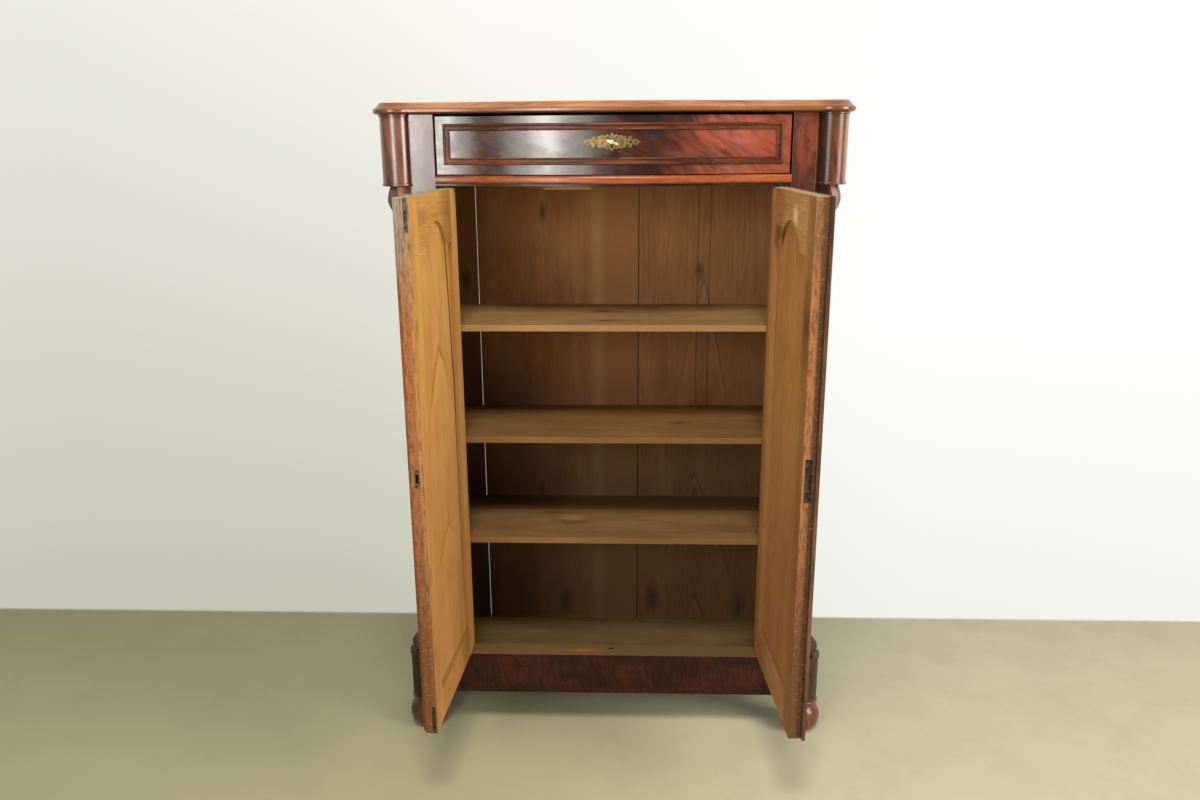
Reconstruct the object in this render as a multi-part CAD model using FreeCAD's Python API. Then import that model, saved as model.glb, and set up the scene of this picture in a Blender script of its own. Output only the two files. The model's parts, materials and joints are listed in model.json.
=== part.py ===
import FreeCAD, Part
import math
import os

# A parlour cabinet with a bowed frieze drawer and two doors that stand open.
# Millimetres. X runs to the right, Y to the back and Z up. The origin is on the floor, on the centre
# line, in the plane of the front posts.

Vector = FreeCAD.Vector
UP = Vector(0, 0, 1)

# Case
opening_half = 386.0        # centre line to the inner face of a corner post
stile_width = 52.0          # front face of a corner post, beside the opening
post_depth = 50.0
corner_setback = 24.0       # recessed corner of the post, behind the front face
corner_chamfer = 22.0
column_radius = 35.0        # rounded columns at the frieze and the plinth
column_setback = 29.0       # column axis behind the front face of the posts
column_seat = 12.0          # where the columns' flat flanks begin, behind the front face
side_inside_axis = 4.0      # outer face of the sides inside the column axis
side_thickness = 18.0
inner_back = 326.0          # front face of the posts to the back boards
back_thickness = 15.0
case_low = 112.0            # underside of the sides, the back and the plinth rail
case_high = 1504.0          # underside of the top

# Back boards have shrunk and left two gaps; the right one is half-lapped
left_gap_in = 32.5          # left gap, in from the inner face of the post
left_gap = 3.0
right_gap_x = 60.0
right_gap = 2.5
back_lap = 9.0

# Frieze bow: a hollow, a round and a hollow arc, tangent to each other
bow_rise = 50.0
bow_end_radius = 450.0

# Top board with a moulded edge
top_thickness = 24.5
top_overhang = 13.0
top_behind = 4.0            # past the back boards
top_profile = (             # height and overhang, as shares of the two sizes above
    (0.00, 0.35), (0.06, 0.80), (0.20, 1.00), (0.40, 1.00), (0.52, 0.78),
    (0.62, 0.48), (0.75, 0.24), (0.87, 0.04), (0.96, -0.08), (1.00, -0.22),
)

# Frieze
frieze_height = 151.0       # frieze columns, from the underside of the drawer rail to the top
column_bead = 5.0           # ring at the foot of a frieze column
column_bead_out = 2.0
column_neck = 4.0           # ring at its head
column_neck_out = 2.5
rail_height = 23.0
rail_depth = 60.0           # drawer rail behind the front face of the posts
moulding_out = 9.0
moulding_height = 18.0
moulding_round = 6.0
moulding_short = 1.0        # moulding ends before the posts
stop_length = 105.0
stop_start = -153.0
stop_depth = 15.0
stop_height = 10.0
stop_behind_door = 2.5

# Plinth and feet
plinth_front = 8.0          # plinth rail in front of the posts
plinth_rail_depth = 50.0
plinth_rail_high = 218.0
block_low = 92.0
block_radius = 38.0
block_high = 206.0
collar_height = 7.0
collar_out = 2.2
foot_floor_radius = 24.0
foot_bulge_radius = 47.5
foot_bulge_high = 38.0
foot_neck_radius = 33.5
foot_neck_low = 74.0
foot_ring_radius = 40.5
foot_ring_seat = 36.0       # top of the ring, under the block
foot_ring_height = 10.0
rear_foot_floor_radius = 22.0
rear_foot_radius = 30.0

# Scrolls on the corners: how far the carving stands out from the corner, at heights from its seat
scroll_angle = 45.0
console_profile = (
    (17.0, 0.0), (22.0, -12.0), (25.5, -33.0), (19.0, -50.0), (12.0, -62.0),
    (7.0, -80.0), (5.0, -105.0), (8.0, -124.0), (6.0, -142.0), (-3.0, -153.0),
)
console_end = -158.0
volute_profile = ((17.0, 0.0), (22.0, 4.0), (30.0, 13.0), (33.0, 25.0), (29.5, 37.0), (16.0, 47.0))
volute_end = 52.0

# Shelves and bottom
shelf_highs = {"upper": 1038.0, "middle": 768.0, "lower": 511.0}
shelf_thickness = 15.0
shelf_front = 36.0
shelf_notch_gap = 2.0
bottom_high = 143.0
bottom_thickness = 15.0
cleat_width = 15.0
cleat_height = 20.0
cleat_short = 10.0          # cleats end before the posts and the back

# Drawer
drawer_gap = 4.5            # beside the drawer front
drawer_gap_low = 2.0
drawer_gap_high = 5.0
drawer_front_thickness = 24.0
drawer_side_gap = 7.0       # drawer side to the post
drawer_side_thickness = 12.0
drawer_length = 300.0       # front face of the posts to the rear of the drawer
drawer_side_height = 106.0
drawer_back_thickness = 12.0
drawer_bottom_thickness = 7.0
drawer_bottom_up = 8.0
runner_gap = 0.3
runner_in = 28.0            # runner reaches in past the drawer side's outer face
guide_gap = 1.0
guide_width = 16.0
guide_height = 24.0
kicker_gap = 2.0
kicker_width = 45.0

# Bead frame on the drawer front
frame_in = 16.0             # inside the end of the drawer front
frame_low = 20.0            # above the drawer front's lower edge
frame_high = 15.0           # below its upper edge
frame_width = 15.0
frame_base = 1.5
outer_bead = 6.0
outer_bead_out = 5.0
inner_bead = 4.0
inner_bead_out = 3.2
bead_round = 0.45           # rounding of a bead's edges, as a share of its width

# Drawer lock
key_up = 67.0               # above the drawer front's lower edge
key_tilt = 19.0             # how the bow of the key stands, from level
keyhole_radius = 3.6
keyhole_slot = 3.4
keyhole_drop = 14.0
lock_half = 35.0
lock_depth = 14.0
lock_wall = 1.5
lock_face = 2.2
lock_under_edge = 2.0
lock_low = 20.0             # below the key
bolt_half = 12.0
bolt_thickness = 6.0
bolt_length = 28.0
bolt_throw = 12.0
slide_gap = 0.3
mortise_gap = 1.0
key_shank_radius = 3.0
key_tip_radius = 2.0
key_fit = 0.05
key_stand = 12.0            # collar of the key in front of the drawer
key_bow_half = 18.0
key_bow_reach = 13.0
key_bow_rim = 5.5
key_bow_thickness = 4.4
key_collar_radius = 4.6
key_collar = 4.0
key_bit_reach = 12.5
key_bit_length = 6.0
key_bit_thickness = 2.4
plate_half = 61.0
plate_thickness = 1.5
plate_lobes = ((0, 0, 13.0), (19, 0, 13.5), (31, 0, 6.5), (38.5, 0, 7.5), (50, 0, 6.4))
plate_scallops = ((0, 14.5, 3.8), (9, 11.5, 4.0), (28, 9, 3.2), (38.5, 7.6, 4.2))
plate_holes = ((51, 0, 1.9), (38.5, 0, 2.4), (10, 9.5, 1.3))

# Doors
open_angle = {"left": 93.2, "right": 94.4}
door_thickness = 32.0
hinge_edge_radius = 19.0    # the hinge edge is round about the pivot
hinge_gap = 1.5
meeting_gap = 2.0
door_gap = 4.0              # above and below the doors
door_stile = 58.0
door_bottom_rail = 72.0
shoulder_drop = 114.0       # top of the door to the shoulders of the arch
crown_drop = 58.0           # top of the door to the crown of the arch
arch_half = 88.0
panel_thickness = 14.0
panel_groove = 7.0
pivot_radius = 4.0
pivot_fit = 0.05
pivot_in_door = 20.0
pivot_in_case = 12.0
pivot_room = 2.0
pivot_collar_radius = 9.0
pivot_collar_gap = 0.2
astragal_lip = 8.5          # past the centre line
astragal_seat = 10.0
astragal_depth = 6.0
astragal_out = 2.0
astragal_round = 1.9
astragal_gap = 0.5

# Door lock and its strike, in the meeting stiles
lock_above_middle = 14.5    # lock above the middle of the door
lock_plate_height = 90.0
lock_plate_width = 15.0
lock_plate_thickness = 3.0
lock_case_height = 76.0
lock_case_depth = 38.0
lock_case_thickness = 10.0
door_bolt_height = 18.0
door_bolt_thickness = 4.5
door_bolt_length = 22.0
door_bolt_throw = 9.0
door_bolt_sunk = 0.3
strike_height = 40.0
strike_width = 12.0
strike_thickness = 2.5
door_key_in = 25.0          # keyhole in from the free edge
door_plate_half = 9.0
door_plate_high = 15.0
door_plate_thickness = 1.2

# Flush bolts in the left door's free edge
flush_plate_height = 64.0
flush_plate_width = 7.8
flush_plate_thickness = 2.5
flush_from_inside = 2.4
flush_bolt_width = 5.6
flush_bolt_thickness = 6.4
flush_bolt_length = 58.0
flush_bolt_sunk = 0.5
flush_throw = 12.0
flush_room = 2.5
thumb_height = 7.0
thumb_width = 3.4
thumb_sunk = 0.3
window_width = 4.2
window_low = 46.0           # lower end of the window, below the door's edge

# Places worked out from the sizes above
stile_outer = opening_half + stile_width
column_x = stile_outer + column_radius
column_low = case_high - frieze_height
side_half = column_x - side_inside_axis
side_inner = side_half - side_thickness
top_back = inner_back + back_thickness + top_behind
rail_high = column_low + rail_height
collar_high = block_high + collar_height
bow_turn = 2 * math.atan(bow_rise / opening_half)
bow_mid_radius = opening_half / math.sin(bow_turn) - bow_end_radius
far = 2 * case_high         # longer than anything it cuts

drawer_half = opening_half - drawer_gap
front_low = rail_high + drawer_gap_low
front_high = case_high - drawer_gap_high
key_high = front_low + key_up
drawer_side_out = opening_half - drawer_side_gap
drawer_side_in = drawer_side_out - drawer_side_thickness
drawer_low = rail_high + runner_gap
drawer_inside = -bow_rise + drawer_front_thickness
lock_back = drawer_inside + lock_depth
lock_top = front_high - lock_under_edge
bolt_mid = (drawer_inside + lock_face + lock_back - lock_wall) / 2
bolt_top = lock_top - slide_gap

pin_x = opening_half - hinge_gap - hinge_edge_radius
pin_y = door_thickness / 2
free_x = meeting_gap / 2
door_low = plinth_rail_high + door_gap
door_high = column_low - door_gap
door_middle = (door_low + door_high) / 2
lock_high = door_middle + lock_above_middle
stile_in = free_x + door_stile
hinge_stile_in = pin_x + hinge_edge_radius - door_stile
bolt_y = (astragal_depth + door_thickness) / 2
flush_out = door_thickness - flush_from_inside
flush_middle = flush_out - flush_plate_width / 2


# Simple solids and outlines
def box(x0, x1, y0, y1, z0, z1):
    return Part.makeBox(x1 - x0, y1 - y0, z1 - z0, Vector(x0, y0, z0))


def upright(radius, x, y, z0, z1):
    return Part.makeCylinder(radius, z1 - z0, Vector(x, y, z0))


def across(radius, x, z, y0, y1):
    return Part.makeCylinder(radius, y1 - y0, Vector(x, y0, z), Vector(0, 1, 0))


def line(a, b):
    return Part.LineSegment(a, b).toShape()


def arc(a, b, c):
    return Part.Arc(a, b, c).toShape()


def extrude(edges, along):
    return Part.Face(Part.Wire(edges)).extrude(along)


def joined(first, *others):
    return first.fuse(list(others)).removeSplitter()


def cut(solid, *tools):
    return solid.cut(list(tools)).removeSplitter()


def mirrored(shape):
    return shape.mirror(Vector(0, 0, 0), Vector(1, 0, 0))


def keep(name, *shapes):
    solids = [solid for shape in shapes for solid in shape.Solids]
    whole = solids[0] if len(solids) == 1 else Part.makeCompound(solids)
    whole.exportStep("parts/" + name + ".step")
    print(name, len(solids), "solids", round(whole.Volume / 1000, 2), "cm3", whole.isValid())


def keep_pair(name, shape):
    keep(name + "_left", mirrored(shape))
    keep(name + "_right", shape)


# Frieze bow, set forward of the plane of the posts, from end to end
def bow_edges(forward, half, z):
    end_radius = bow_end_radius - forward
    mid_radius = bow_mid_radius + forward
    turn_x = mid_radius * math.sin(bow_turn)
    crest = Vector(0, -bow_rise - forward, z)

    def round_part(x):
        return Vector(x, bow_mid_radius - bow_rise - math.sqrt(mid_radius ** 2 - x ** 2), z)

    def hollow_part(x):
        depth = math.sqrt(end_radius ** 2 - (opening_half - abs(x)) ** 2)
        return Vector(x, depth - bow_end_radius, z)

    if half <= turn_x:
        return [arc(round_part(-half), crest, round_part(half))]
    between = (half + turn_x) / 2
    return [
        arc(hollow_part(-half), hollow_part(-between), round_part(-turn_x)),
        arc(round_part(-turn_x), crest, round_part(turn_x)),
        arc(round_part(turn_x), hollow_part(between), hollow_part(half)),
    ]


def nearest(size, others):
    return min(abs(size - other) for other in others)


def ends(edges):
    return edges[0].firstVertex().Point, edges[-1].lastVertex().Point


def bow_board(forward, back, half, z0, z1):
    front = bow_edges(forward, half, z0)
    left, right = ends(front)
    back_left = Vector(-half, back, z0)
    back_right = Vector(half, back, z0)
    sides = [line(right, back_right), line(back_right, back_left), line(back_left, left)]
    return extrude(front + sides, UP * (z1 - z0))


def bow_band(forward, rear, half, z0, z1):
    front = bow_edges(forward, half, z0)
    back = bow_edges(rear, half, z0)
    left, right = ends(front)
    rear_left, rear_right = ends(back)
    edges = front + [line(right, rear_right)] + back[::-1] + [line(rear_left, left)]
    return extrude(edges, UP * (z1 - z0))


# Top board
def top_outline(out, z):
    ear = column_radius + out
    front_x = column_x - math.sqrt(ear ** 2 - (column_setback + out) ** 2)
    side_x = side_half + out
    side_y = column_setback + math.sqrt(ear ** 2 - (side_x - column_x) ** 2)
    slant = math.sqrt(0.5) * ear
    front = bow_edges(out, opening_half, z)
    bow_left, bow_right = ends(front)

    def corner(side):
        back = Vector(side * side_x, top_back, z)
        meet = Vector(side * side_x, side_y, z)
        tip = Vector(side * (column_x + slant), column_setback - slant, z)
        start = Vector(side * front_x, -out, z)
        return back, meet, tip, start

    back_l, meet_l, tip_l, start_l = corner(-1)
    back_r, meet_r, tip_r, start_r = corner(1)
    left = [line(back_l, meet_l), arc(meet_l, tip_l, start_l), line(start_l, bow_left)]
    right = [line(bow_right, start_r), arc(start_r, tip_r, meet_r), line(meet_r, back_r)]
    return Part.Wire(left + front + right + [line(back_r, back_l)])


def top_board():
    levels = [
        top_outline(top_overhang * out, case_high + top_thickness * high)
        for high, out in top_profile
    ]
    board = Part.makeLoft(levels, True, True)
    reach = bolt_half + mortise_gap
    depth = bolt_thickness / 2 + mortise_gap
    roof = bolt_top + bolt_throw + mortise_gap
    return cut(board, box(-reach, reach, bolt_mid - depth, bolt_mid + depth, case_high, roof))


# Case, built on the right and mirrored for the left
def corner_post():
    stile = box(opening_half, stile_outer, 0, post_depth, plinth_rail_high, case_high)
    corner = [
        Vector(stile_outer, corner_setback, collar_high),
        Vector(side_half - corner_chamfer, corner_setback, collar_high),
        Vector(side_half, corner_setback + corner_chamfer, collar_high),
        Vector(side_half, post_depth, collar_high),
        Vector(stile_outer, post_depth, collar_high),
    ]
    outline = Part.makePolygon(corner + corner[:1])
    recess = Part.Face(outline).extrude(UP * (column_low - collar_high))
    return joined(stile, recess)


def corner_column(radius, low, high, *rings):
    shaft = upright(radius, column_x, column_setback, low, high)
    flank = box(stile_outer, column_x, column_seat, post_depth, low, high)
    bands = [upright(radius + out, column_x, column_setback, z0, z1) for out, z0, z1 in rings]
    room = box(stile_outer, far, -far, post_depth, low, high)
    return joined(shaft, flank, *bands).common(room).removeSplitter()


def corner_scroll(profile, seat, end):
    half = math.hypot(corner_chamfer, corner_chamfer) / 2
    back = -half
    points = [Vector(out, -half, rise) for out, rise in profile]
    points.append(Vector(back, -half, end))
    curve = Part.BSplineCurve()
    curve.interpolate(points)
    foot = Vector(back, -half, 0)
    edges = [curve.toShape(), line(points[-1], foot), line(foot, points[0])]
    scroll = extrude(edges, Vector(0, 2 * half, 0))
    scroll.rotate(Vector(0, 0, 0), UP, -scroll_angle)
    scroll.translate(Vector(side_half, corner_setback, seat))
    return scroll


def side_panel():
    return box(side_inner, side_half, post_depth, inner_back + back_thickness, case_low, case_high)


def back_boards():
    left_gap_x = left_gap_in - opening_half
    left_end = left_gap_x - left_gap / 2
    middle_start = left_gap_x + left_gap / 2
    middle_end = right_gap_x - right_gap / 2
    right_start = right_gap_x + right_gap / 2
    halfway = inner_back + back_thickness / 2
    rear = inner_back + back_thickness

    def board(x0, x1, front):
        return box(x0, x1, front, rear, case_low, case_high)

    rebate = board(middle_end - back_lap, middle_end, halfway)
    tongue = board(right_start - back_lap, right_start, halfway)
    keep("back_board_left", board(-side_inner, left_end, inner_back))
    keep("back_board_middle", cut(board(middle_start, middle_end, inner_back), rebate))
    keep("back_board_right", joined(board(right_start, side_inner, inner_back), tongue))


def pivot_bore(z0, z1):
    return [upright(pivot_radius + pivot_fit, x, pin_y, z0, z1) for x in (-pin_x, pin_x)]


def flush_mortise(z0, z1):
    reach = free_x + flush_plate_thickness + 2 * slide_gap + flush_bolt_thickness + mortise_gap
    half = flush_bolt_width / 2 + mortise_gap
    return box(-reach, -free_x, flush_middle - half, flush_middle + half, z0, z1)


def plinth_rail():
    rear = plinth_rail_depth - plinth_front
    rail = box(-stile_outer, stile_outer, -plinth_front, rear, case_low, plinth_rail_high)
    bores = pivot_bore(plinth_rail_high - pivot_in_case - pivot_room, plinth_rail_high)
    return cut(rail, flush_mortise(door_low - flush_throw - flush_room, plinth_rail_high), *bores)


def drawer_rail():
    rail = bow_board(0, rail_depth, opening_half, column_low, rail_high)
    bores = pivot_bore(column_low, column_low + pivot_in_case + pivot_room)
    return cut(rail, flush_mortise(column_low, door_high + flush_throw + flush_room), *bores)


def rail_moulding():
    low = rail_high - moulding_height
    half = opening_half - moulding_short
    band = bow_band(moulding_out, 0, half, low, low + moulding_height)
    front_radii = (bow_end_radius - moulding_out, bow_mid_radius + moulding_out)

    rims = [
        edge for edge in band.Edges
        if isinstance(edge.Curve, Part.Circle) and nearest(edge.Curve.Radius, front_radii) < moulding_out / 2
    ]
    return band.makeFillet(moulding_round, rims)


# A board between the sides, with a tongue that reaches forward between the posts
def tongued_board(tongue_half, front, low, high):
    board = box(-side_inner, side_inner, post_depth, inner_back, low, high)
    return joined(board, box(-tongue_half, tongue_half, front, post_depth, low, high))


def shelf_cleats():
    cleats = []
    front = post_depth + cleat_short
    rear = inner_back - cleat_short
    for high in shelf_highs.values():
        top = high - shelf_thickness
        cleat = box(side_inner - cleat_width, side_inner, front, rear, top - cleat_height, top)
        cleats += [cleat, mirrored(cleat)]
    return cleats


def front_foot():
    ring_low = block_low - foot_ring_height
    floor_rim = Vector(foot_floor_radius, 0, 0)
    bulge = Vector(foot_bulge_radius, 0, foot_bulge_high)
    neck_low = Vector(foot_neck_radius, 0, foot_neck_low)
    neck_high = Vector(foot_neck_radius, 0, ring_low)
    ring = Vector(foot_ring_radius, 0, (ring_low + block_low) / 2)
    seat = Vector(foot_ring_seat, 0, block_low)
    rest = [seat, Vector(0, 0, block_low), Vector(0, 0, 0), floor_rim]
    turned = [arc(floor_rim, bulge, neck_low), line(neck_low, neck_high), arc(neck_high, ring, seat)]
    runs = [line(a, b) for a, b in zip(rest, rest[1:])]
    foot = Part.Face(Part.Wire(turned + runs)).revolve(Vector(0, 0, 0), UP)
    foot.translate(Vector(column_x, column_setback, 0))
    return foot


def rear_foot():
    place = Vector(side_half - rear_foot_radius, inner_back + back_thickness - rear_foot_radius, 0)
    return Part.makeCone(rear_foot_floor_radius, rear_foot_radius, case_low, place)


def build_case():
    keep("top_board", top_board())
    keep_pair("side_panel", side_panel())
    back_boards()
    keep_pair("corner_post", corner_post())
    bead = (column_bead_out, column_low, column_low + column_bead)
    neck = (column_neck_out, case_high - column_neck, case_high)
    keep_pair("frieze_column", corner_column(column_radius, column_low, case_high, bead, neck))
    collar = (collar_out, block_high, collar_high)
    keep_pair("plinth_block", corner_column(block_radius, block_low, collar_high, collar))
    keep_pair("scroll_console", corner_scroll(console_profile, column_low, console_end))
    keep_pair("base_volute", corner_scroll(volute_profile, collar_high, volute_end))
    keep_pair("front_foot", front_foot())
    keep("rear_feet", mirrored(rear_foot()), rear_foot())
    keep("plinth_rail", plinth_rail())
    rail_rear = plinth_rail_depth - plinth_front
    bottom_low = bottom_high - bottom_thickness
    keep("bottom_board", tongued_board(stile_outer, rail_rear, bottom_low, bottom_high))
    shelf_half = opening_half - shelf_notch_gap
    for name, high in shelf_highs.items():
        shelf = tongued_board(shelf_half, shelf_front, high - shelf_thickness, high)
        keep(name + "_shelf", shelf)
    keep("shelf_cleats", *shelf_cleats())
    keep("drawer_rail", drawer_rail())
    keep("rail_moulding", rail_moulding())
    stop_end = stop_start + stop_length
    stop_y = door_thickness + stop_behind_door
    stop_low = column_low - stop_height
    keep("door_stop", box(stop_start, stop_end, stop_y, stop_y + stop_depth, stop_low, column_low))


def build_drawer_carriers():
    reach_in = drawer_side_out - runner_in
    guide_in = drawer_side_out + guide_gap
    guide_high = rail_high + guide_height
    strip = box(reach_in, side_inner, rail_depth, inner_back, column_low, rail_high)
    guide = box(guide_in, guide_in + guide_width, rail_depth, inner_back, rail_high, guide_high)
    keep("drawer_runners", mirrored(strip), mirrored(guide), strip, guide)
    kicker_low = drawer_low + drawer_side_height + kicker_gap
    kicker = box(reach_in, reach_in + kicker_width, rail_depth, inner_back, kicker_low, case_high)
    keep("drawer_kickers", mirrored(kicker), kicker)


# Drawer
def keyhole(z, y0, y1):
    return joined(
        across(keyhole_radius, 0, z, y0, y1),
        box(-keyhole_slot / 2, keyhole_slot / 2, y0, y1, z - keyhole_drop, z),
    )


def drawer_front():
    return bow_band(0, -drawer_front_thickness, drawer_half, front_low, front_high)


def bead_ring(inset, width, out):
    half = drawer_half - frame_in - inset
    low = front_low + frame_low + inset
    high = front_high - frame_high - inset
    ring = bow_band(out, 0, half, low, high)
    return ring.cut(box(-half + width, half - width, -far, far, low + width, high - width))


def rounded_bead(inset, width, out):
    ring = bead_ring(inset, width, out)
    front_radii = (bow_end_radius - out, bow_mid_radius + out)
    borders = {}
    for face in ring.Faces:
        if isinstance(face.Surface, Part.Cylinder) and nearest(face.Surface.Radius, front_radii) < out / 2:
            for edge in face.Edges:
                borders.setdefault(edge.hashCode(), []).append(edge)
    rims = [edges[0] for edges in borders.values() if len(edges) == 1]
    return ring.makeFillet(bead_round * width, rims)


def drawer_bead_frame():
    return joined(
        bead_ring(0, frame_width, frame_base),
        rounded_bead(0, outer_bead, outer_bead_out),
        rounded_bead(frame_width - inner_bead, inner_bead, inner_bead_out),
    )


def escutcheon():
    sheet = bow_band(plate_thickness, 0, plate_half, front_low, front_high)
    y0 = -bow_rise - far
    lobes = []
    for x, rise, radius in plate_lobes + plate_scallops:
        for place in {(x, rise), (-x, rise), (x, -rise), (-x, -rise)}:
            lobes.append(across(radius, place[0], key_high + place[1], y0, 0))
    tip_x, tip_radius = plate_lobes[-1][0], plate_lobes[-1][2]
    tip = [
        Vector(tip_x, y0, key_high - tip_radius),
        Vector(plate_half, y0, key_high),
        Vector(tip_x, y0, key_high + tip_radius),
    ]
    point = Part.Face(Part.makePolygon(tip + tip[:1])).extrude(Vector(0, -y0, 0))
    outline = joined(lobes[0], *lobes[1:], point, mirrored(point))
    holes = []
    for x, rise, radius in plate_holes:
        for place in {(x, rise), (-x, rise), (x, -rise), (-x, -rise)}:
            holes.append(across(radius, place[0], key_high + place[1], y0, 0))
    return cut(sheet.common(outline), keyhole(key_high, y0, 0), *holes)


def lock_case(front):
    low = key_high - lock_low
    case = box(-lock_half, lock_half, drawer_inside - lock_face, lock_back, low, lock_top)
    inner = lock_half - lock_wall
    roof = lock_top - lock_wall
    room_front = drawer_inside + lock_face
    room_back = lock_back - lock_wall
    room = box(-inner, inner, room_front, room_back, low + lock_wall, roof)
    slot_half = bolt_half + slide_gap
    slot_depth = bolt_thickness / 2 + slide_gap
    slot = box(-slot_half, slot_half, bolt_mid - slot_depth, bolt_mid + slot_depth, roof, lock_top)
    bore = across(key_tip_radius + key_fit, 0, key_high, room_back, lock_back)
    mouth = keyhole(key_high, drawer_inside - lock_face, room_front)
    return cut(case, front, room, slot, bore, mouth)


def key():
    front = -bow_rise - key_stand
    room_front = drawer_inside + lock_face
    room_back = lock_back - lock_wall
    shank = across(key_shank_radius, 0, 0, front, room_back - slide_gap)
    tip = across(key_tip_radius, 0, 0, room_back - slide_gap, lock_back)
    collar = across(key_collar_radius, 0, 0, front, front + key_collar)
    bit_y = room_front + slide_gap
    bit_half = key_bit_thickness / 2
    bit = box(0, key_bit_reach, bit_y, bit_y + key_bit_length, -bit_half, bit_half)
    centre = Vector(0, front - key_bow_reach + key_bow_rim / 2, -key_bow_thickness / 2)
    rim = Part.Ellipse(centre, key_bow_half, key_bow_reach).toShape()
    eye = Part.Ellipse(centre, key_bow_half - key_bow_rim, key_bow_reach - key_bow_rim).toShape()
    disc = extrude([rim], UP * key_bow_thickness)
    bow = disc.cut(extrude([eye], UP * key_bow_thickness))
    whole = joined(shank, tip, collar, bit, bow)
    whole.rotate(Vector(0, 0, 0), Vector(0, 1, 0), key_tilt)
    whole.translate(Vector(0, 0, key_high))
    return whole


def build_drawer():
    front = drawer_front()
    keep("drawer_front", cut(front, keyhole(key_high, -far, far)))
    keep("drawer_bead_frame", drawer_bead_frame())
    side_front = drawer_front_thickness
    side_high = drawer_low + drawer_side_height
    side = box(drawer_side_in, drawer_side_out, side_front, drawer_length, drawer_low, side_high)
    keep_pair("drawer_side", side)
    bottom_low = drawer_low + drawer_bottom_up
    bottom_top = bottom_low + drawer_bottom_thickness
    bottom = bow_board(-drawer_front_thickness, drawer_length, drawer_side_in, bottom_low, bottom_top)
    keep("drawer_bottom", bottom)
    back_y = drawer_length - drawer_back_thickness
    back = box(-drawer_side_in, drawer_side_in, back_y, drawer_length, bottom_top, side_high)
    keep("drawer_back", back)
    keep("drawer_escutcheon", escutcheon())
    keep("drawer_lock_case", lock_case(front))
    bolt_low = bolt_top - bolt_length
    bolt_front = bolt_mid - bolt_thickness / 2
    bolt_rear = bolt_mid + bolt_thickness / 2
    keep("drawer_lock_bolt", box(-bolt_half, bolt_half, bolt_front, bolt_rear, bolt_low, bolt_top))
    keep("drawer_key", key())


# Doors, built closed on the right, then mirrored for the left and opened
def keep_door(side, name, *shapes):
    placed = []
    for shape in shapes:
        sign = 1 if side == "right" else -1
        shape = shape if side == "right" else mirrored(shape)
        shape.rotate(Vector(sign * pin_x, pin_y, 0), UP, sign * open_angle[side])
        placed.append(shape)
    keep(name, *placed)


def door_opening(grow, y0, y1):
    arch_rise = shoulder_drop - crown_drop
    radius = (arch_half ** 2 + arch_rise ** 2) / (2 * arch_rise)
    centre_z = door_high - crown_drop - radius
    middle = (stile_in + hinge_stile_in) / 2
    shoulder = door_high - shoulder_drop + grow
    half = math.sqrt((radius + grow) ** 2 - (shoulder - centre_z) ** 2)
    left, right = stile_in - grow, hinge_stile_in + grow
    low = door_low + door_bottom_rail - grow
    corners = [
        Vector(middle + half, y0, shoulder),
        Vector(right, y0, shoulder),
        Vector(right, y0, low),
        Vector(left, y0, low),
        Vector(left, y0, shoulder),
        Vector(middle - half, y0, shoulder),
    ]
    crown = Vector(middle, y0, centre_z + radius + grow)
    runs = [line(a, b) for a, b in zip(corners, corners[1:])]
    return extrude(runs + [arc(corners[-1], crown, corners[0])], Vector(0, y1 - y0, 0))


def hinge_stile(panel):
    flat = math.sqrt(hinge_edge_radius ** 2 - pin_y ** 2)
    front = Vector(pin_x + flat, 0, door_low)
    rear = Vector(pin_x + flat, door_thickness, door_low)
    crest = Vector(pin_x + hinge_edge_radius, pin_y, door_low)
    inner_front = Vector(hinge_stile_in, 0, door_low)
    inner_rear = Vector(hinge_stile_in, door_thickness, door_low)
    sides = [line(rear, inner_rear), line(inner_rear, inner_front), line(inner_front, front)]
    stile = extrude([arc(front, crest, rear)] + sides, UP * (door_high - door_low))
    low_bore = upright(pivot_radius, pin_x, pin_y, door_low, door_low + pivot_in_door)
    high_bore = upright(pivot_radius, pin_x, pin_y, door_high - pivot_in_door, door_high)
    return cut(stile, panel, low_bore, high_bore)


def pivots():
    pin_low = plinth_rail_high - pivot_in_case
    pin_high = column_low + pivot_in_case
    collar_low = plinth_rail_high + pivot_collar_gap
    collar_top = column_low - pivot_collar_gap
    low_pin = upright(pivot_radius, pin_x, pin_y, pin_low, door_low + pivot_in_door)
    low_collar = upright(pivot_collar_radius, pin_x, pin_y, collar_low, door_low)
    high_pin = upright(pivot_radius, pin_x, pin_y, door_high - pivot_in_door, pin_high)
    high_collar = upright(pivot_collar_radius, pin_x, pin_y, door_high, collar_top)
    return joined(low_pin, low_collar), joined(high_pin, high_collar)


def meeting_stile():
    return box(free_x, stile_in, 0, door_thickness, door_low, door_high)


def build_door_frame(side, meeting, panel):
    opening = door_opening(0, 0, door_thickness)
    shoulder = door_high - shoulder_drop
    top = box(stile_in, hinge_stile_in, 0, door_thickness, shoulder, door_high)
    bottom_top = door_low + door_bottom_rail
    bottom = box(stile_in, hinge_stile_in, 0, door_thickness, door_low, bottom_top)
    keep_door(side, side + "_door_hinge_stile", hinge_stile(panel))
    keep_door(side, side + "_door_meeting_stile", meeting)
    keep_door(side, side + "_door_top_rail", cut(top, opening, panel))
    keep_door(side, side + "_door_bottom_rail", cut(bottom, panel))
    keep_door(side, side + "_door_panel", panel.copy())
    keep_door(side, side + "_door_pivots", *pivots())


def door_panel():
    y0 = (door_thickness - panel_thickness) / 2
    return door_opening(panel_groove, y0, y0 + panel_thickness)


def edge_plate(height, width, thickness, middle_y, middle_z):
    return box(
        free_x, free_x + thickness,
        middle_y - width / 2, middle_y + width / 2,
        middle_z - height / 2, middle_z + height / 2,
    )


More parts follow.
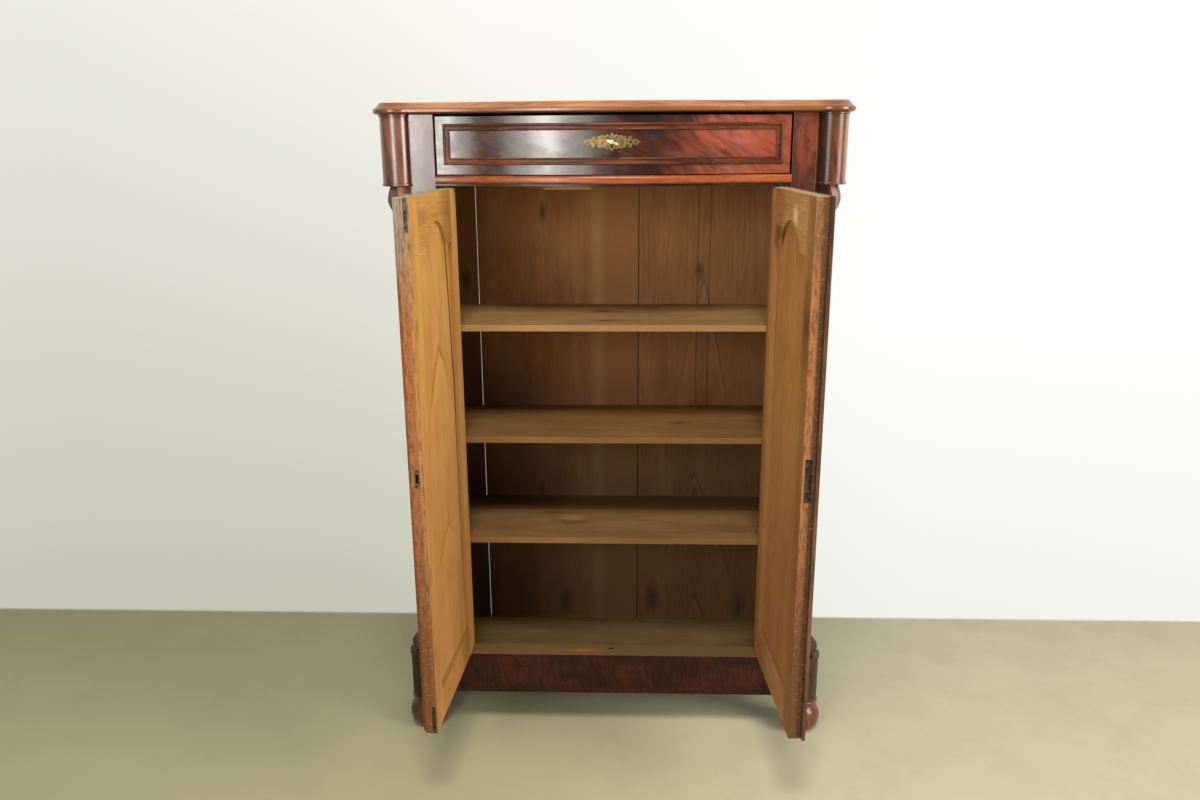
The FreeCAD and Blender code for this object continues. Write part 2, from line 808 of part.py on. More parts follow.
def door_bolt(gap, start, length):
    half = door_bolt_thickness / 2 + gap
    rise = door_bolt_height / 2 + gap
    low = lock_high - rise
    return box(start, start + length, bolt_y - half, bolt_y + half, low, lock_high + rise)


def build_right_door():
    panel = door_panel()
    seat = free_x + astragal_seat
    rebate = box(free_x, seat, 0, astragal_depth, door_low, door_high)
    plate = edge_plate(lock_plate_height, lock_plate_width, lock_plate_thickness, bolt_y, lock_high)
    half = lock_case_thickness / 2
    case_low_z = lock_high - lock_case_height / 2
    case = box(
        free_x + lock_plate_thickness, free_x + lock_case_depth,
        bolt_y - half, bolt_y + half,
        case_low_z, case_low_z + lock_case_height,
    )
    body = joined(plate, case)
    key_x = free_x + door_key_in
    hole = keyhole(lock_high, -far, bolt_y - half)
    hole.translate(Vector(key_x, 0, 0))
    build_door_frame("right", cut(meeting_stile(), rebate, body, panel, hole), panel)
    room = door_bolt(slide_gap, free_x, door_bolt_sunk + door_bolt_length + slide_gap)
    keep_door("right", "right_door_lock", cut(body, room))
    keep_door("right", "right_door_lock_bolt", door_bolt(0, free_x + door_bolt_sunk, door_bolt_length))
    strip = box(-astragal_lip, seat, -astragal_out, astragal_depth, door_low, door_high)
    fronts = [e for e in strip.Edges if e.BoundBox.YMax < 0 and e.BoundBox.ZLength > door_stile]
    keep_door("right", "right_door_astragal", strip.makeFillet(astragal_round, fronts))
    plate_x = key_x + door_plate_half / 2
    plate_x0 = plate_x - door_plate_half
    plate_x1 = plate_x + door_plate_half
    plate_low = lock_high - door_plate_high
    shield = box(plate_x0, plate_x1, -door_plate_thickness, 0, plate_low, lock_high)
    cap = across(door_plate_half, plate_x, lock_high, -door_plate_thickness, 0)
    keep_door("right", "right_door_keyhole_plate", cut(joined(shield, cap), hole))


def flush_bolt_parts():
    plate_low = door_high - flush_plate_height
    plate = edge_plate(
        flush_plate_height, flush_plate_width, flush_plate_thickness,
        flush_middle, door_high - flush_plate_height / 2,
    )
    window_z = door_high - window_low
    window_top = window_z + thumb_height + flush_throw + 2 * slide_gap
    half_window = window_width / 2
    x_plate = free_x + flush_plate_thickness
    window = box(
        free_x, x_plate,
        flush_middle - half_window, flush_middle + half_window,
        window_z, window_top,
    )
    x0 = x_plate + slide_gap
    x1 = x0 + flush_bolt_thickness
    half = flush_bolt_width / 2
    top = door_high - flush_bolt_sunk
    bar = box(x0, x1, flush_middle - half, flush_middle + half, top - flush_bolt_length, top)
    thumb_half = thumb_width / 2
    thumb_low = window_z + slide_gap
    thumb = box(
        free_x + thumb_sunk, x0,
        flush_middle - thumb_half, flush_middle + thumb_half,
        thumb_low, thumb_low + thumb_height,
    )
    groove_half = half + slide_gap
    groove = box(
        x_plate, x1 + slide_gap,
        flush_middle - groove_half, flush_middle + groove_half,
        plate_low + slide_gap, door_high,
    )
    return cut(plate, window), joined(bar, thumb), joined(plate, groove)


def upended(shape):
    return shape.mirror(Vector(0, 0, door_middle), UP)


def build_left_door():
    panel = door_panel()
    step = astragal_lip + astragal_gap
    rebate = box(free_x, step, 0, astragal_depth + astragal_gap, door_low, door_high)
    strike = edge_plate(strike_height, strike_width, strike_thickness, bolt_y, lock_high)
    slot = door_bolt(mortise_gap, free_x, door_bolt_throw + mortise_gap)
    plate, bolt, recess = flush_bolt_parts()
    meeting = cut(meeting_stile(), rebate, panel, strike, slot, recess, upended(recess))
    build_door_frame("left", meeting, panel)
    keep_door("left", "left_door_strike", cut(strike, slot))
    keep_door("left", "flush_bolt_plates", plate, upended(plate))
    keep_door("left", "upper_flush_bolt", bolt)
    keep_door("left", "lower_flush_bolt", upended(bolt))


os.makedirs("parts", exist_ok=True)
build_case()
build_drawer_carriers()
build_drawer()
build_left_door()
build_right_door()
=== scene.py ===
import bpy
import bmesh
import json
import math
from mathutils import Matrix, Vector

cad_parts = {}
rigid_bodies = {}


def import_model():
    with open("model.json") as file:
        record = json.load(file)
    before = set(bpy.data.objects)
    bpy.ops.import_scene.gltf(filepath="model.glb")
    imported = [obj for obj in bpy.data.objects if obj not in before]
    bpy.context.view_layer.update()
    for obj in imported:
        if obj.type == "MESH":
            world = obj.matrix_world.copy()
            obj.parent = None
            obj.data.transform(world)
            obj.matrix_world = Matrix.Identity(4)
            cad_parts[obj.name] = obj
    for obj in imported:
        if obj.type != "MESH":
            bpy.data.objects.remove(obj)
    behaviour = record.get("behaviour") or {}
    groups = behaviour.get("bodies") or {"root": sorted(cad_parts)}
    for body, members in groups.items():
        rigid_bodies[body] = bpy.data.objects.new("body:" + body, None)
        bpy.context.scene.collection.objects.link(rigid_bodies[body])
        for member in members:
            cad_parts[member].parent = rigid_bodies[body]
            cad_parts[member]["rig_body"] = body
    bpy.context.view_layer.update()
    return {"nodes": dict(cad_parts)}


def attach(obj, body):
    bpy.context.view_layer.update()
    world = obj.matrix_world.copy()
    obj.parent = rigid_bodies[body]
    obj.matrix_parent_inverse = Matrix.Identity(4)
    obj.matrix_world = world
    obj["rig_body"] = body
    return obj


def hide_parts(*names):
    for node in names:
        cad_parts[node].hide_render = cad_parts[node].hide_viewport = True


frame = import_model()
nodes = frame["nodes"]
mm = 0.001
print("frame loaded:", len(nodes), "nodes")

# the doors stand open: their patterns are laid out as if they were shut
leftDoor = {"pivot": (-0.3655, 0.016, 0.0), "angle": math.radians(93.2)}
rightDoor = {"pivot": (0.3655, 0.016, 0.0), "angle": math.radians(-94.4)}


def linear(hexText):  # sRGB hex to the linear colour that a socket takes
    channels = [int(hexText[i:i + 2], 16) / 255 for i in (0, 2, 4)]
    return tuple(c / 12.92 if c <= 0.04045 else ((c + 0.055) / 1.055) ** 2.4
                 for c in channels) + (1.0,)


# Numbered sockets: Map Range has 0 value, 1-2 from, 3-4 to; Mix has 0 share, 6 and 7 colours
def addNode(tree, kind, inputs=None, out=0, stops=None, **settings):  # gives back an output socket
    node = tree.nodes.new(kind)
    for name, value in settings.items():
        setattr(node, name, value)
    for socket, value in (inputs or {}).items():
        if isinstance(value, bpy.types.NodeSocket):
            tree.links.new(value, node.inputs[socket])
        else:
            node.inputs[socket].default_value = value
    if stops:
        ramp = node.color_ramp
        for spare in range(len(stops) - 2):
            ramp.elements.new(0.5)
        for element, (place, colour) in zip(ramp.elements, stops):
            element.position = place
            element.color = colour if isinstance(colour, tuple) else (colour, colour, colour, 1.0)
    return node.outputs[out]


def newMaterial(name):
    material = bpy.data.materials.new(name)
    material.use_nodes = True
    tree = material.node_tree
    return material, tree, tree.nodes["Principled BSDF"]


def setSockets(tree, shader, values):
    for socket, value in values.items():
        if isinstance(value, bpy.types.NodeSocket):
            tree.links.new(value, shader.inputs[socket])
        else:
            shader.inputs[socket].default_value = value


# Coordinates

def grainPlace(tree, along, turn=None):  # its axes, and its place across, deep, along
    place = addNode(tree, "ShaderNodeTexCoord", out="Object")
    if turn:
        place = addNode(tree, "ShaderNodeVectorRotate",
                        {"Vector": place, "Center": turn["pivot"], "Angle": turn["angle"]},
                        rotation_type="Z_AXIS")
    axes = addNode(tree, "ShaderNodeSeparateXYZ", {0: place}).node.outputs
    order = {"X": (2, 1, 0), "Y": (0, 2, 1), "Z": (0, 1, 2), "shelf": (1, 2, 0)}[along]
    grain = addNode(tree, "ShaderNodeCombineXYZ", {i: axes[o] for i, o in enumerate(order)})
    return axes, grain


def woodStreaks(tree, grain, acrossMm, alongMm, detail=3.0, seed=0.0):  # uneven, along the grain
    size = (1 / (acrossMm * mm), 1 / (acrossMm * mm), 1 / (alongMm * mm))
    scaled = addNode(tree, "ShaderNodeVectorMath", {0: grain, 1: size, 2: (seed, seed, seed)},
                     operation="MULTIPLY_ADD")
    return addNode(tree, "ShaderNodeTexNoise",
                   {"Vector": scaled, "Scale": 1.0, "Detail": detail, "Roughness": 0.58})


spotForm = {"full": 0.7, "none": 1.4, "raggedMm": 350}  # the spot's own size counts as 1 m


def tintLayers(tree, axes, tints):  # the share and the colour of each tint
    layers = []
    for tint in tints:
        if "spot" in tint:  # a ragged round patch
            place = addNode(tree, "ShaderNodeCombineXYZ", {i: axes[i] for i in range(3)})
            gap = addNode(tree, "ShaderNodeVectorMath", {0: place, 1: tint["spot"]},
                          operation="SUBTRACT")
            gap = addNode(tree, "ShaderNodeVectorMath", {0: gap, 1: tint["size"]},
                          operation="DIVIDE")
            ragged = woodStreaks(tree, gap, spotForm["raggedMm"], spotForm["raggedMm"], 3.0,
                                 tint["spot"][0])
            gap = addNode(tree, "ShaderNodeVectorMath", {0: gap}, out="Value", operation="LENGTH")
            gap = addNode(tree, "ShaderNodeMath", {0: gap, 1: ragged}, operation="ADD")
            share = addNode(tree, "ShaderNodeMapRange",
                            {0: gap, 1: spotForm["full"], 2: spotForm["none"],
                             3: tint["share"], 4: 0.0})
        else:  # along an axis, none at start and full at end
            share = addNode(tree, "ShaderNodeMapRange",
                            {0: axes["XYZ".index(tint["axis"])], 1: tint["start"], 2: tint["end"],
                             3: 0.0, 4: tint["share"]}, interpolation_type="SMOOTHSTEP")
        layers.append((share, tint["hex"]))
    return layers


# Pine: plain-sawn softwood, planed and left bare or waxed. Soft pale early wood and thin darker
# late wood give faint lines and arches; resin and dust darken it unevenly. Rings are drawn at 7 to
# 13 mm, and fibres at 1.6 mm, wider than real ones, so that they show.
pineStreaks = {  # mm across, mm along, detail, seed
    "blotch": (55, 210, 4.0, 5.1), "fibre": (1.6, 55, 3.0, 1.3),
    "wander": (80, 520, 2.0, 0.0), "uneven": (22, 260, 3.0, 3.7)}
pineForm = {"soft": (0.32, 0.68), "streak": (0.42, 0.8), "ringRelief": 0.4, "relief": 0.4 * mm}
ringForm = {"uneven": 3.0, "stops": [(0.0, 0.0), (0.4, 0.12), (0.8, 1.0), (1.0, 0.0)],
            "fade": (1.1, 1.9), "faintest": 0.15}
archForm = {"round": 4 * mm, "bend": 40 * mm, "waver": (26, 48, 3.0, 2.2),
            "span": (-100 * mm, 20 * mm), "near": (20 * mm, 130 * mm),
            "line": [(0.72, 0.0), (0.81, 1.0), (0.87, 0.6), (1.0, 0.0)],
            "flame": [(0.0, 0.0), (0.7, 1.0), (0.78, 0.0)],
            "heavy": (-50 * mm, 30 * mm), "lightSide": 0.35}
knotForm = {"drawnOut": 0.45, "ragged": 0.7, "edge": (1.1, 2.5), "share": 0.7}
splitForm = {"bend": 7 * mm, "core": 0.3, "fade": 120 * mm}


def pineColour(tree, axes, grain, pine):  # and the rings and fibres, for the relief
    ownSeed = pine.get("seed", 0.0)
    ways = addNode(tree, "ShaderNodeSeparateXYZ", {0: grain}).node.outputs
    across, along = ways["X"], ways["Z"]
    blotch, fibre, wander, uneven = (
        woodStreaks(tree, grain, acrossMm, alongMm, detail, seed + ownSeed)
        for acrossMm, alongMm, detail, seed in pineStreaks.values())
    soft = addNode(tree, "ShaderNodeMapRange",
                   {0: blotch, 1: pineForm["soft"][0], 2: pineForm["soft"][1]})
    colour = addNode(tree, "ShaderNodeMix",
                     {0: soft, 6: linear(pine["base"]), 7: linear(pine["pale"])},
                     out=2, data_type="RGBA")

    # growth rings about a heart line, bent and fading in and out
    wander = addNode(tree, "ShaderNodeMapRange",
                     {0: wander, 3: -pine["wanderMm"] * mm, 4: pine["wanderMm"] * mm})
    heartAcross, heartAlong = pine["heart"]
    sideways = addNode(tree, "ShaderNodeMath", {0: across, 1: heartAcross}, operation="SUBTRACT")
    sideways = addNode(tree, "ShaderNodeMath", {0: sideways, 1: wander}, operation="ADD")
    lengthways = addNode(tree, "ShaderNodeMath", {0: along, 1: heartAlong}, operation="SUBTRACT")
    lengthways = addNode(tree, "ShaderNodeMath", {0: lengthways, 1: pine["taper"]},
                         operation="MULTIPLY")
    reach = addNode(tree, "ShaderNodeCombineXYZ",
                    {0: sideways, 1: lengthways, 2: pine["pithMm"] * mm})
    radius = addNode(tree, "ShaderNodeVectorMath", {0: reach}, out="Value", operation="LENGTH")
    uneven = addNode(tree, "ShaderNodeMath", {0: uneven, 1: ringForm["uneven"]},
                     operation="MULTIPLY")
    phase = addNode(tree, "ShaderNodeMath",
                    {0: radius, 1: 1 / (pine["ringMm"] * mm), 2: uneven},
                    operation="MULTIPLY_ADD")
    ring = addNode(tree, "ShaderNodeMath", {0: phase}, operation="FRACT")
    ring = addNode(tree, "ShaderNodeValToRGB", {0: ring}, stops=ringForm["stops"])
    fading = addNode(tree, "ShaderNodeMapRange",
                     {0: uneven, 1: ringForm["fade"][0], 2: ringForm["fade"][1],
                      3: ringForm["faintest"], 4: 1.0})
    ring = addNode(tree, "ShaderNodeMath", {0: ring, 1: fading}, operation="MULTIPLY")
    ringShare = addNode(tree, "ShaderNodeMath", {0: ring, 1: pine["ringShare"]},
                        operation="MULTIPLY")
    streak = addNode(tree, "ShaderNodeMapRange",
                     {0: fibre, 1: pineForm["streak"][0], 2: pineForm["streak"][1],
                      3: 0.0, 4: pine["fibreShare"]})
    layers = [(ringShare, pine["late"]), (streak, pine["late"])]

    for arch in pine.get("arches", []):  # a pointed thin dark line, and paler wood below it
        side = addNode(tree, "ShaderNodeMath", {0: across, 1: arch["across"]},
                       operation="SUBTRACT")
        side = addNode(tree, "ShaderNodeCombineXYZ", {0: side, 1: archForm["round"]})
        side = addNode(tree, "ShaderNodeVectorMath", {0: side}, out="Value", operation="LENGTH")
        drop = addNode(tree, "ShaderNodeMath", {0: side, 1: arch["slope"], 2: along},
                       operation="MULTIPLY_ADD")
        drop = addNode(tree, "ShaderNodeMath", {0: drop, 1: arch["apex"]}, operation="SUBTRACT")
        acrossMm, alongMm, detail, seed = archForm["waver"]
        waver = woodStreaks(tree, grain, acrossMm, alongMm, detail, seed + ownSeed)
        bent = addNode(tree, "ShaderNodeMath", {0: blotch, 1: waver}, operation="ADD")
        bent = addNode(tree, "ShaderNodeMapRange",
                       {0: bent, 1: 0.0, 2: 2.0, 3: -archForm["bend"], 4: archForm["bend"]})
        drop = addNode(tree, "ShaderNodeMath", {0: drop, 1: bent}, operation="ADD")
        span = addNode(tree, "ShaderNodeMapRange",
                       {0: drop, 1: archForm["span"][0], 2: archForm["span"][1]})
        line = addNode(tree, "ShaderNodeValToRGB", {0: span}, stops=archForm["line"])
        flame = addNode(tree, "ShaderNodeValToRGB", {0: span}, stops=archForm["flame"])
        near = addNode(tree, "ShaderNodeMapRange",
                       {0: side, 1: archForm["near"][0], 2: archForm["near"][1],
                        3: arch["share"] * pine.get("archShare", 1.0), 4: 0.0})
        heavy = addNode(tree, "ShaderNodeMapRange",
                        {0: across, 1: arch["across"] + archForm["heavy"][0],
                         2: arch["across"] + archForm["heavy"][1],
                         3: archForm["lightSide"], 4: 1.0})
        line = addNode(tree, "ShaderNodeMath", {0: line, 1: near}, operation="MULTIPLY")
        line = addNode(tree, "ShaderNodeMath", {0: line, 1: heavy}, operation="MULTIPLY")
        flame = addNode(tree, "ShaderNodeMath", {0: flame, 1: near}, operation="MULTIPLY")
        layers += [(flame, pine["pale"]), (line, pine["late"])]
    for knot in pine.get("knots", []):  # dark heart of a branch, drawn out along the grain
        size = (1 / (knot["mm"] * mm), 0.0, knotForm["drawnOut"] / (knot["mm"] * mm))
        gap = addNode(tree, "ShaderNodeVectorMath",
                      {0: grain, 1: (knot["across"], 0.0, knot["along"])}, operation="SUBTRACT")
        gap = addNode(tree, "ShaderNodeVectorMath", {0: gap, 1: size}, operation="MULTIPLY")
        gap = addNode(tree, "ShaderNodeVectorMath", {0: gap}, out="Value", operation="LENGTH")
        ragged = addNode(tree, "ShaderNodeMath", {0: uneven, 1: knotForm["ragged"], 2: gap},
                         operation="MULTIPLY_ADD")
        core = addNode(tree, "ShaderNodeMapRange",
                       {0: ragged, 1: knotForm["edge"][0], 2: knotForm["edge"][1],
                        3: knot.get("share", knotForm["share"]), 4: 0.0})
        layers.append((core, pine["knot"]))
    for split in pine.get("splits", []):  # a ragged dark crack along the grain
        off = addNode(tree, "ShaderNodeMath", {0: across, 1: split["across"]},
                      operation="SUBTRACT")
        off = addNode(tree, "ShaderNodeMath", {0: along, 1: split.get("lean", 0.0), 2: off},
                      operation="MULTIPLY_ADD")
        bent = addNode(tree, "ShaderNodeMapRange",
                       {0: blotch, 3: -splitForm["bend"], 4: splitForm["bend"]})
        off = addNode(tree, "ShaderNodeMath", {0: off, 1: bent}, operation="ADD")
        off = addNode(tree, "ShaderNodeMath", {0: off}, operation="ABSOLUTE")
        wide = split["mm"] * mm
        crack = addNode(tree, "ShaderNodeMapRange",
                        {0: off, 1: splitForm["core"] * wide, 2: wide, 3: split["share"], 4: 0.0})
        low, high = split["reach"]
        above = addNode(tree, "ShaderNodeMapRange",
                        {0: along, 1: low, 2: low + splitForm["fade"]})
        below = addNode(tree, "ShaderNodeMapRange",
                        {0: along, 1: high, 2: high - splitForm["fade"]})
        ends = addNode(tree, "ShaderNodeMath", {0: above, 1: below}, operation="MULTIPLY")
        crack = addNode(tree, "ShaderNodeMath", {0: crack, 1: ends}, operation="MULTIPLY")
        layers.append((crack, pine["knot"]))
    for share, hexText in layers + tintLayers(tree, axes, pine.get("tints", [])):
        colour = addNode(tree, "ShaderNodeMix", {0: share, 6: colour, 7: linear(hexText)},
                         out=2, data_type="RGBA")
    return colour, ring, fibre


def pineRelief(tree, ring, fibre, strength):  # late wood and fibres stand a little proud
    relief = addNode(tree, "ShaderNodeMath", {0: ring, 1: pineForm["ringRelief"], 2: fibre},
                     operation="MULTIPLY_ADD")
    return addNode(tree, "ShaderNodeBump",
                   {"Strength": strength, "Distance": pineForm["relief"], "Height": relief})


def pineMaterial(name, pine):
    material, tree, shader = newMaterial(name)
    axes, grain = grainPlace(tree, pine["along"], pine.get("turn"))
    colour, ring, fibre = pineColour(tree, axes, grain, pine)
    rough = addNode(tree, "ShaderNodeMapRange",
                    {0: fibre, 3: pine["rough"][0], 4: pine["rough"][1]})
    setSockets(tree, shader, {"Base Color": colour, "Roughness": rough, "IOR": 1.5,
                              "Normal": pineRelief(tree, ring, fibre, 0.3),
                              "Specular IOR Level": 0.25})
    return material


# Mahogany veneer: knife-cut figured sheet, french polished. Red-brown with darker feathers that
# lean across the grain, fine dark pores, and a thin clear film, a little wavy, with an uneven
# gloss. Pores are drawn 1.1 mm wide, wider than real ones, so that they show.
figureForm = {"driftShare": 0.65, "featherShare": 0.65, "stops": (0.45, 0.64, 0.84),
              "leastFlame": 0.12, "poreMm": (1.1, 14), "pores": (0.56, 0.78), "poreShare": 0.4,
              "rippleMm": (28, 60), "film": (0.35, 0.65), "relief": 0.2 * mm}


def veneerColour(tree, axes, grain, veneer):  # and the pores, for the relief
    drift = woodStreaks(tree, grain, *veneer["driftMm"], 3.0, veneer.get("seed", 0.0))
    lean = addNode(tree, "ShaderNodeVectorRotate",
                   {"Vector": grain, "Angle": math.radians(veneer["lean"])},
                   rotation_type="Y_AXIS")
    bend = addNode(tree, "ShaderNodeMapRange",
                   {0: drift, 3: -veneer["bendMm"] * mm, 4: veneer["bendMm"] * mm})
    bend = addNode(tree, "ShaderNodeCombineXYZ", {0: bend, 2: bend})
    bent = addNode(tree, "ShaderNodeVectorMath", {0: lean, 1: bend}, operation="ADD")
    feather = woodStreaks(tree, bent, *veneer["featherMm"], veneer.get("featherDetail", 4.0))
    tone = addNode(tree, "ShaderNodeMath", {0: drift, 1: figureForm["driftShare"]},
                   operation="MULTIPLY")
    tone = addNode(tree, "ShaderNodeMath", {0: feather, 1: figureForm["featherShare"], 2: tone},
                   operation="MULTIPLY_ADD")
    tones = [linear(veneer[shade]) for shade in ("dark", "base", "bright")]
    colour = addNode(tree, "ShaderNodeValToRGB", {0: tone},
                     stops=list(zip(figureForm["stops"], tones)))
    layers = []
    for patch in veneer.get("patches", []):  # a flame of brighter figure
        near = addNode(tree, "ShaderNodeMapRange",
                       {0: axes["XYZ".index(patch["axis"])], 1: patch["start"], 2: patch["end"]},
                       interpolation_type="SMOOTHSTEP")
        flame = addNode(tree, "ShaderNodeMapRange",
                        {0: tone, 1: patch["tone"][0], 2: patch["tone"][1],
                         3: figureForm["leastFlame"], 4: patch["share"]})
        flame = addNode(tree, "ShaderNodeMath", {0: flame, 1: near}, operation="MULTIPLY")
        layers.append((flame, patch["hex"]))
    pores = woodStreaks(tree, grain, *figureForm["poreMm"], 2.0, 2.4)
    pores = addNode(tree, "ShaderNodeMapRange",
                    {0: pores, 1: figureForm["pores"][0], 2: figureForm["pores"][1],
                     3: 0.0, 4: figureForm["poreShare"]})
    layers.append((pores, veneer["dark"]))
    for share, hexText in layers + tintLayers(tree, axes, veneer.get("tints", [])):
        colour = addNode(tree, "ShaderNodeMix", {0: share, 6: colour, 7: linear(hexText)},
                         out=2, data_type="RGBA")
    return colour, pores


def veneerMaterial(name, veneer):
    material, tree, shader = newMaterial(name)
    axes, grain = grainPlace(tree, veneer["along"])
    colour, pores = veneerColour(tree, axes, grain, veneer)
    wave = woodStreaks(tree, grain, *figureForm["rippleMm"], 2.0, 7.7)  # the film's slow ripple
    height = addNode(tree, "ShaderNodeMath", {0: wave, 1: veneer["ripple"], 2: pores},
                     operation="MULTIPLY_ADD")
    bump = addNode(tree, "ShaderNodeBump",
                   {"Strength": 0.12, "Distance": figureForm["relief"], "Height": height})
    rough = addNode(tree, "ShaderNodeMapRange",
                    {0: wave, 1: figureForm["film"][0], 2: figureForm["film"][1],
                     3: veneer["rough"][0], 4: veneer["rough"][1]})
    setSockets(tree, shader, {"Base Color": colour, "Roughness": rough, "Normal": bump, "IOR": 1.5,
                              "Specular IOR Level": veneer["gloss"],
                              "Coat Weight": veneer["coat"],
                              "Coat Roughness": 0.17, "Coat IOR": 1.5})
    return material


# Metals
metalForm = {"patches": (0.35, 0.65), "worn": (0.3, 0.7), "relief": 0.3 * mm}


def metalMaterial(name, metal):
    material, tree, shader = newMaterial(name)
    place = addNode(tree, "ShaderNodeTexCoord", out="Object")
    cloud = addNode(tree, "ShaderNodeTexNoise",
                    {"Vector": place, "Scale": 1 / (metal["patchMm"] * mm), "Detail": 5.0})
    grit = addNode(tree, "ShaderNodeTexNoise",
                   {"Vector": place, "Scale": 1 / (metal["gritMm"] * mm), "Detail": 2.0})
    share = addNode(tree, "ShaderNodeMapRange",
                    {0: cloud, 1: metalForm["patches"][0], 2: metalForm["patches"][1]})
    colour = addNode(tree, "ShaderNodeMix",
                     {0: share, 6: linear(metal["dark"]), 7: linear(metal["bright"])},
                     out=2, data_type="RGBA")
    rough = addNode(tree, "ShaderNodeMapRange",
                    {0: cloud, 1: metalForm["worn"][0], 2: metalForm["worn"][1],
                     3: metal["rough"][1], 4: metal["rough"][0]})
    bump = addNode(tree, "ShaderNodeBump",
                   {"Strength": metal["bump"], "Distance": metalForm["relief"], "Height": grit})
    setSockets(tree, shader, {"Base Color": colour, "Roughness": rough, "Normal": bump,
                              "Metallic": metal["metallic"]})
    return material


# Tarnished sheet brass: warm dull yellow, browner in the hollows
brass = metalMaterial("tarnishedBrass", {
    "dark": "5e4c32", "bright": "a88f62", "patchMm": 5.0, "gritMm": 0.8,
    "rough": (0.3, 0.5), "bump": 0.3, "metallic": 0.9})
# Forged iron, rust-browned and handled: almost black, with a dull shine where it rubs
iron = metalMaterial("forgedIron", {
    "dark": "2b2622", "bright": "5a524a", "patchMm": 9.0, "gritMm": 0.9,
    "rough": (0.42, 0.7), "bump": 0.5, "metallic": 0.8})
# Filed steel of the key: pale, partly as a painted highlight, and bright where fingers polish it
keySteel = metalMaterial("filedSteel", {
    "dark": "c9bf97", "bright": "f4ecc8", "patchMm": 6.0, "gritMm": 0.7,
    "rough": (0.36, 0.5), "bump": 0.15, "metallic": 0.85})

# Pine inside the case: brown with age and dust, with painted shade darker towards the floor
casePine = {"along": "Z", "base": "9c6b40", "pale": "b18256", "late": "5e3d22", "knot": "2c1a0e",
            "wanderMm": 14.0, "heart": (0.0, -2.0), "taper": 0.03, "pithMm": 30.0, "ringMm": 11.0,
            "ringShare": 0.2, "fibreShare": 0.4, "rough": (0.62, 0.8)}
# painted shade: the back boards darker towards the floor, where the shelves shade them
lowShade = {"axis": "Z", "start": 1.3, "end": 0.5, "hex": "392a17", "share": 0.7}
# the middle back board: faint straight lines, and a paler stripe down its right part
backMiddle = pineMaterial("agedPineMiddle", {
    **casePine, "heart": (-0.16, -1.6), "seed": 1.0,
    "knots": [{"across": -0.183, "along": 1.272, "mm": 12},
              {"across": -0.2, "along": 0.53, "mm": 9},
              {"across": -0.14, "along": 0.20, "mm": 17, "share": 0.8}],
    "tints": [{"axis": "X", "start": -0.075, "end": -0.045, "hex": "c09a68", "share": 0.5},
              {"axis": "X", "start": -0.045, "end": -0.015, "hex": "9c6b40", "share": 0.7},
              lowShade]})
# the right back board: pointed arches above one another, between two long dark lines
backRight = pineMaterial("agedPineRight", {
    **casePine, "heart": (0.225, -0.4), "taper": 0.02, "pithMm": 4.0, "ringMm": 13.0,
    "ringShare": 0.3, "seed": 2.0, "tints": [lowShade],
    "splits": [{"across": 0.211, "mm": 3.4, "share": 0.42, "reach": (0.68, 1.45)},
               {"across": 0.241, "mm": 3.4, "share": 0.38, "reach": (0.68, 1.45)}],
    "arches": [{"across": 0.2278, "apex": 1.12, "slope": 5.0, "share": 0.75},
               {"across": 0.2148, "apex": 0.585, "slope": 3.0, "share": 0.85},
               {"across": 0.2207, "apex": 0.235, "slope": 3.5, "share": 0.85}],
    "knots": [{"across": 0.215, "along": 1.127, "mm": 11},
              {"across": 0.104, "along": 0.204, "mm": 18, "share": 0.85},
              {"across": 0.343, "along": 0.18, "mm": 16, "share": 0.85},
              {"across": 0.215, "along": 0.521, "mm": 10}]})
# the narrow left back board, greyer and darker
backLeft = pineMaterial("agedPineLeft", {
    **casePine, "heart": (-0.52, -1.2), "seed": 3.0, "base": "805a33", "pale": "94693d",
    "tints": [lowShade], "knots": [{"across": -0.385, "along": 1.10, "mm": 12}]})

# Shelf pine: dusty grey-brown on top, with a browner rubbed front edge
shelfPine = {**casePine, "along": "shelf", "base": "7d5f38", "pale": "937248", "late": "5c4426",
             "pithMm": 12.0, "ringMm": 12.0, "ringShare": 0.3}
shelfFront = {"axis": "Y", "start": 0.0368, "end": 0.0358, "hex": "7f5932", "share": 0.85}
shelves = {
    "upper_shelf": pineMaterial("dustyPineUpper", {  # the palest
        **shelfPine, "seed": 4.0, "base": "92734a", "pale": "ac8b5c", "heart": (0.19, -1.5),
        "tints": [{**shelfFront, "hex": "a47c4e"}],
        "knots": [{"across": 0.10, "along": -0.02, "mm": 14, "share": 0.6},
                  {"across": 0.22, "along": -0.03, "mm": 16, "share": 0.6}]}),
    "middle_shelf": pineMaterial("dustyPineMiddle", {
        **shelfPine, "seed": 5.0, "base": "7a5a35", "pale": "8f6d44", "heart": (0.28, 1.9),
        "tints": [shelfFront], "knots": [{"across": 0.16, "along": 0.16, "mm": 11}]}),
    "lower_shelf": pineMaterial("dustyPineLower", {  # a pale stain, and darker at the rear
        **shelfPine, "seed": 6.0, "heart": (0.12, -2.2),
        "tints": [{"axis": "Y", "start": 0.222, "end": 0.226, "hex": "4c3a20", "share": 0.5},
                  {"spot": (-0.108, 0.165, 0.511), "size": (0.05, 0.03, 0.02), "hex": "ad8a5a",
                   "share": 0.6}, shelfFront],
        "knots": [{"across": 0.14, "along": -0.11, "mm": 18, "share": 0.5},
                  {"across": 0.2, "along": -0.16, "mm": 14, "share": 0.4}]}),
    "bottom_board": pineMaterial("dustyPineBottom", {  # greenish with dust
        **shelfPine, "base": "6b5835", "pale": "7c6844", "seed": 7.0, "heart": (0.2, 1.4)}),
}
# Unfinished pine of the drawer, clean and straw coloured
drawerPine = pineMaterial("drawerPine", {
    **casePine, "along": "Y", "base": "a37a49", "pale": "b98f5b", "late": "7a5630"})
# Rough pine of cleats, runners and kickers, dull brown
cleatPine = pineMaterial("cleatPine", {
    **casePine, "along": "Y", "base": "8a5f36", "pale": "a0744a"})
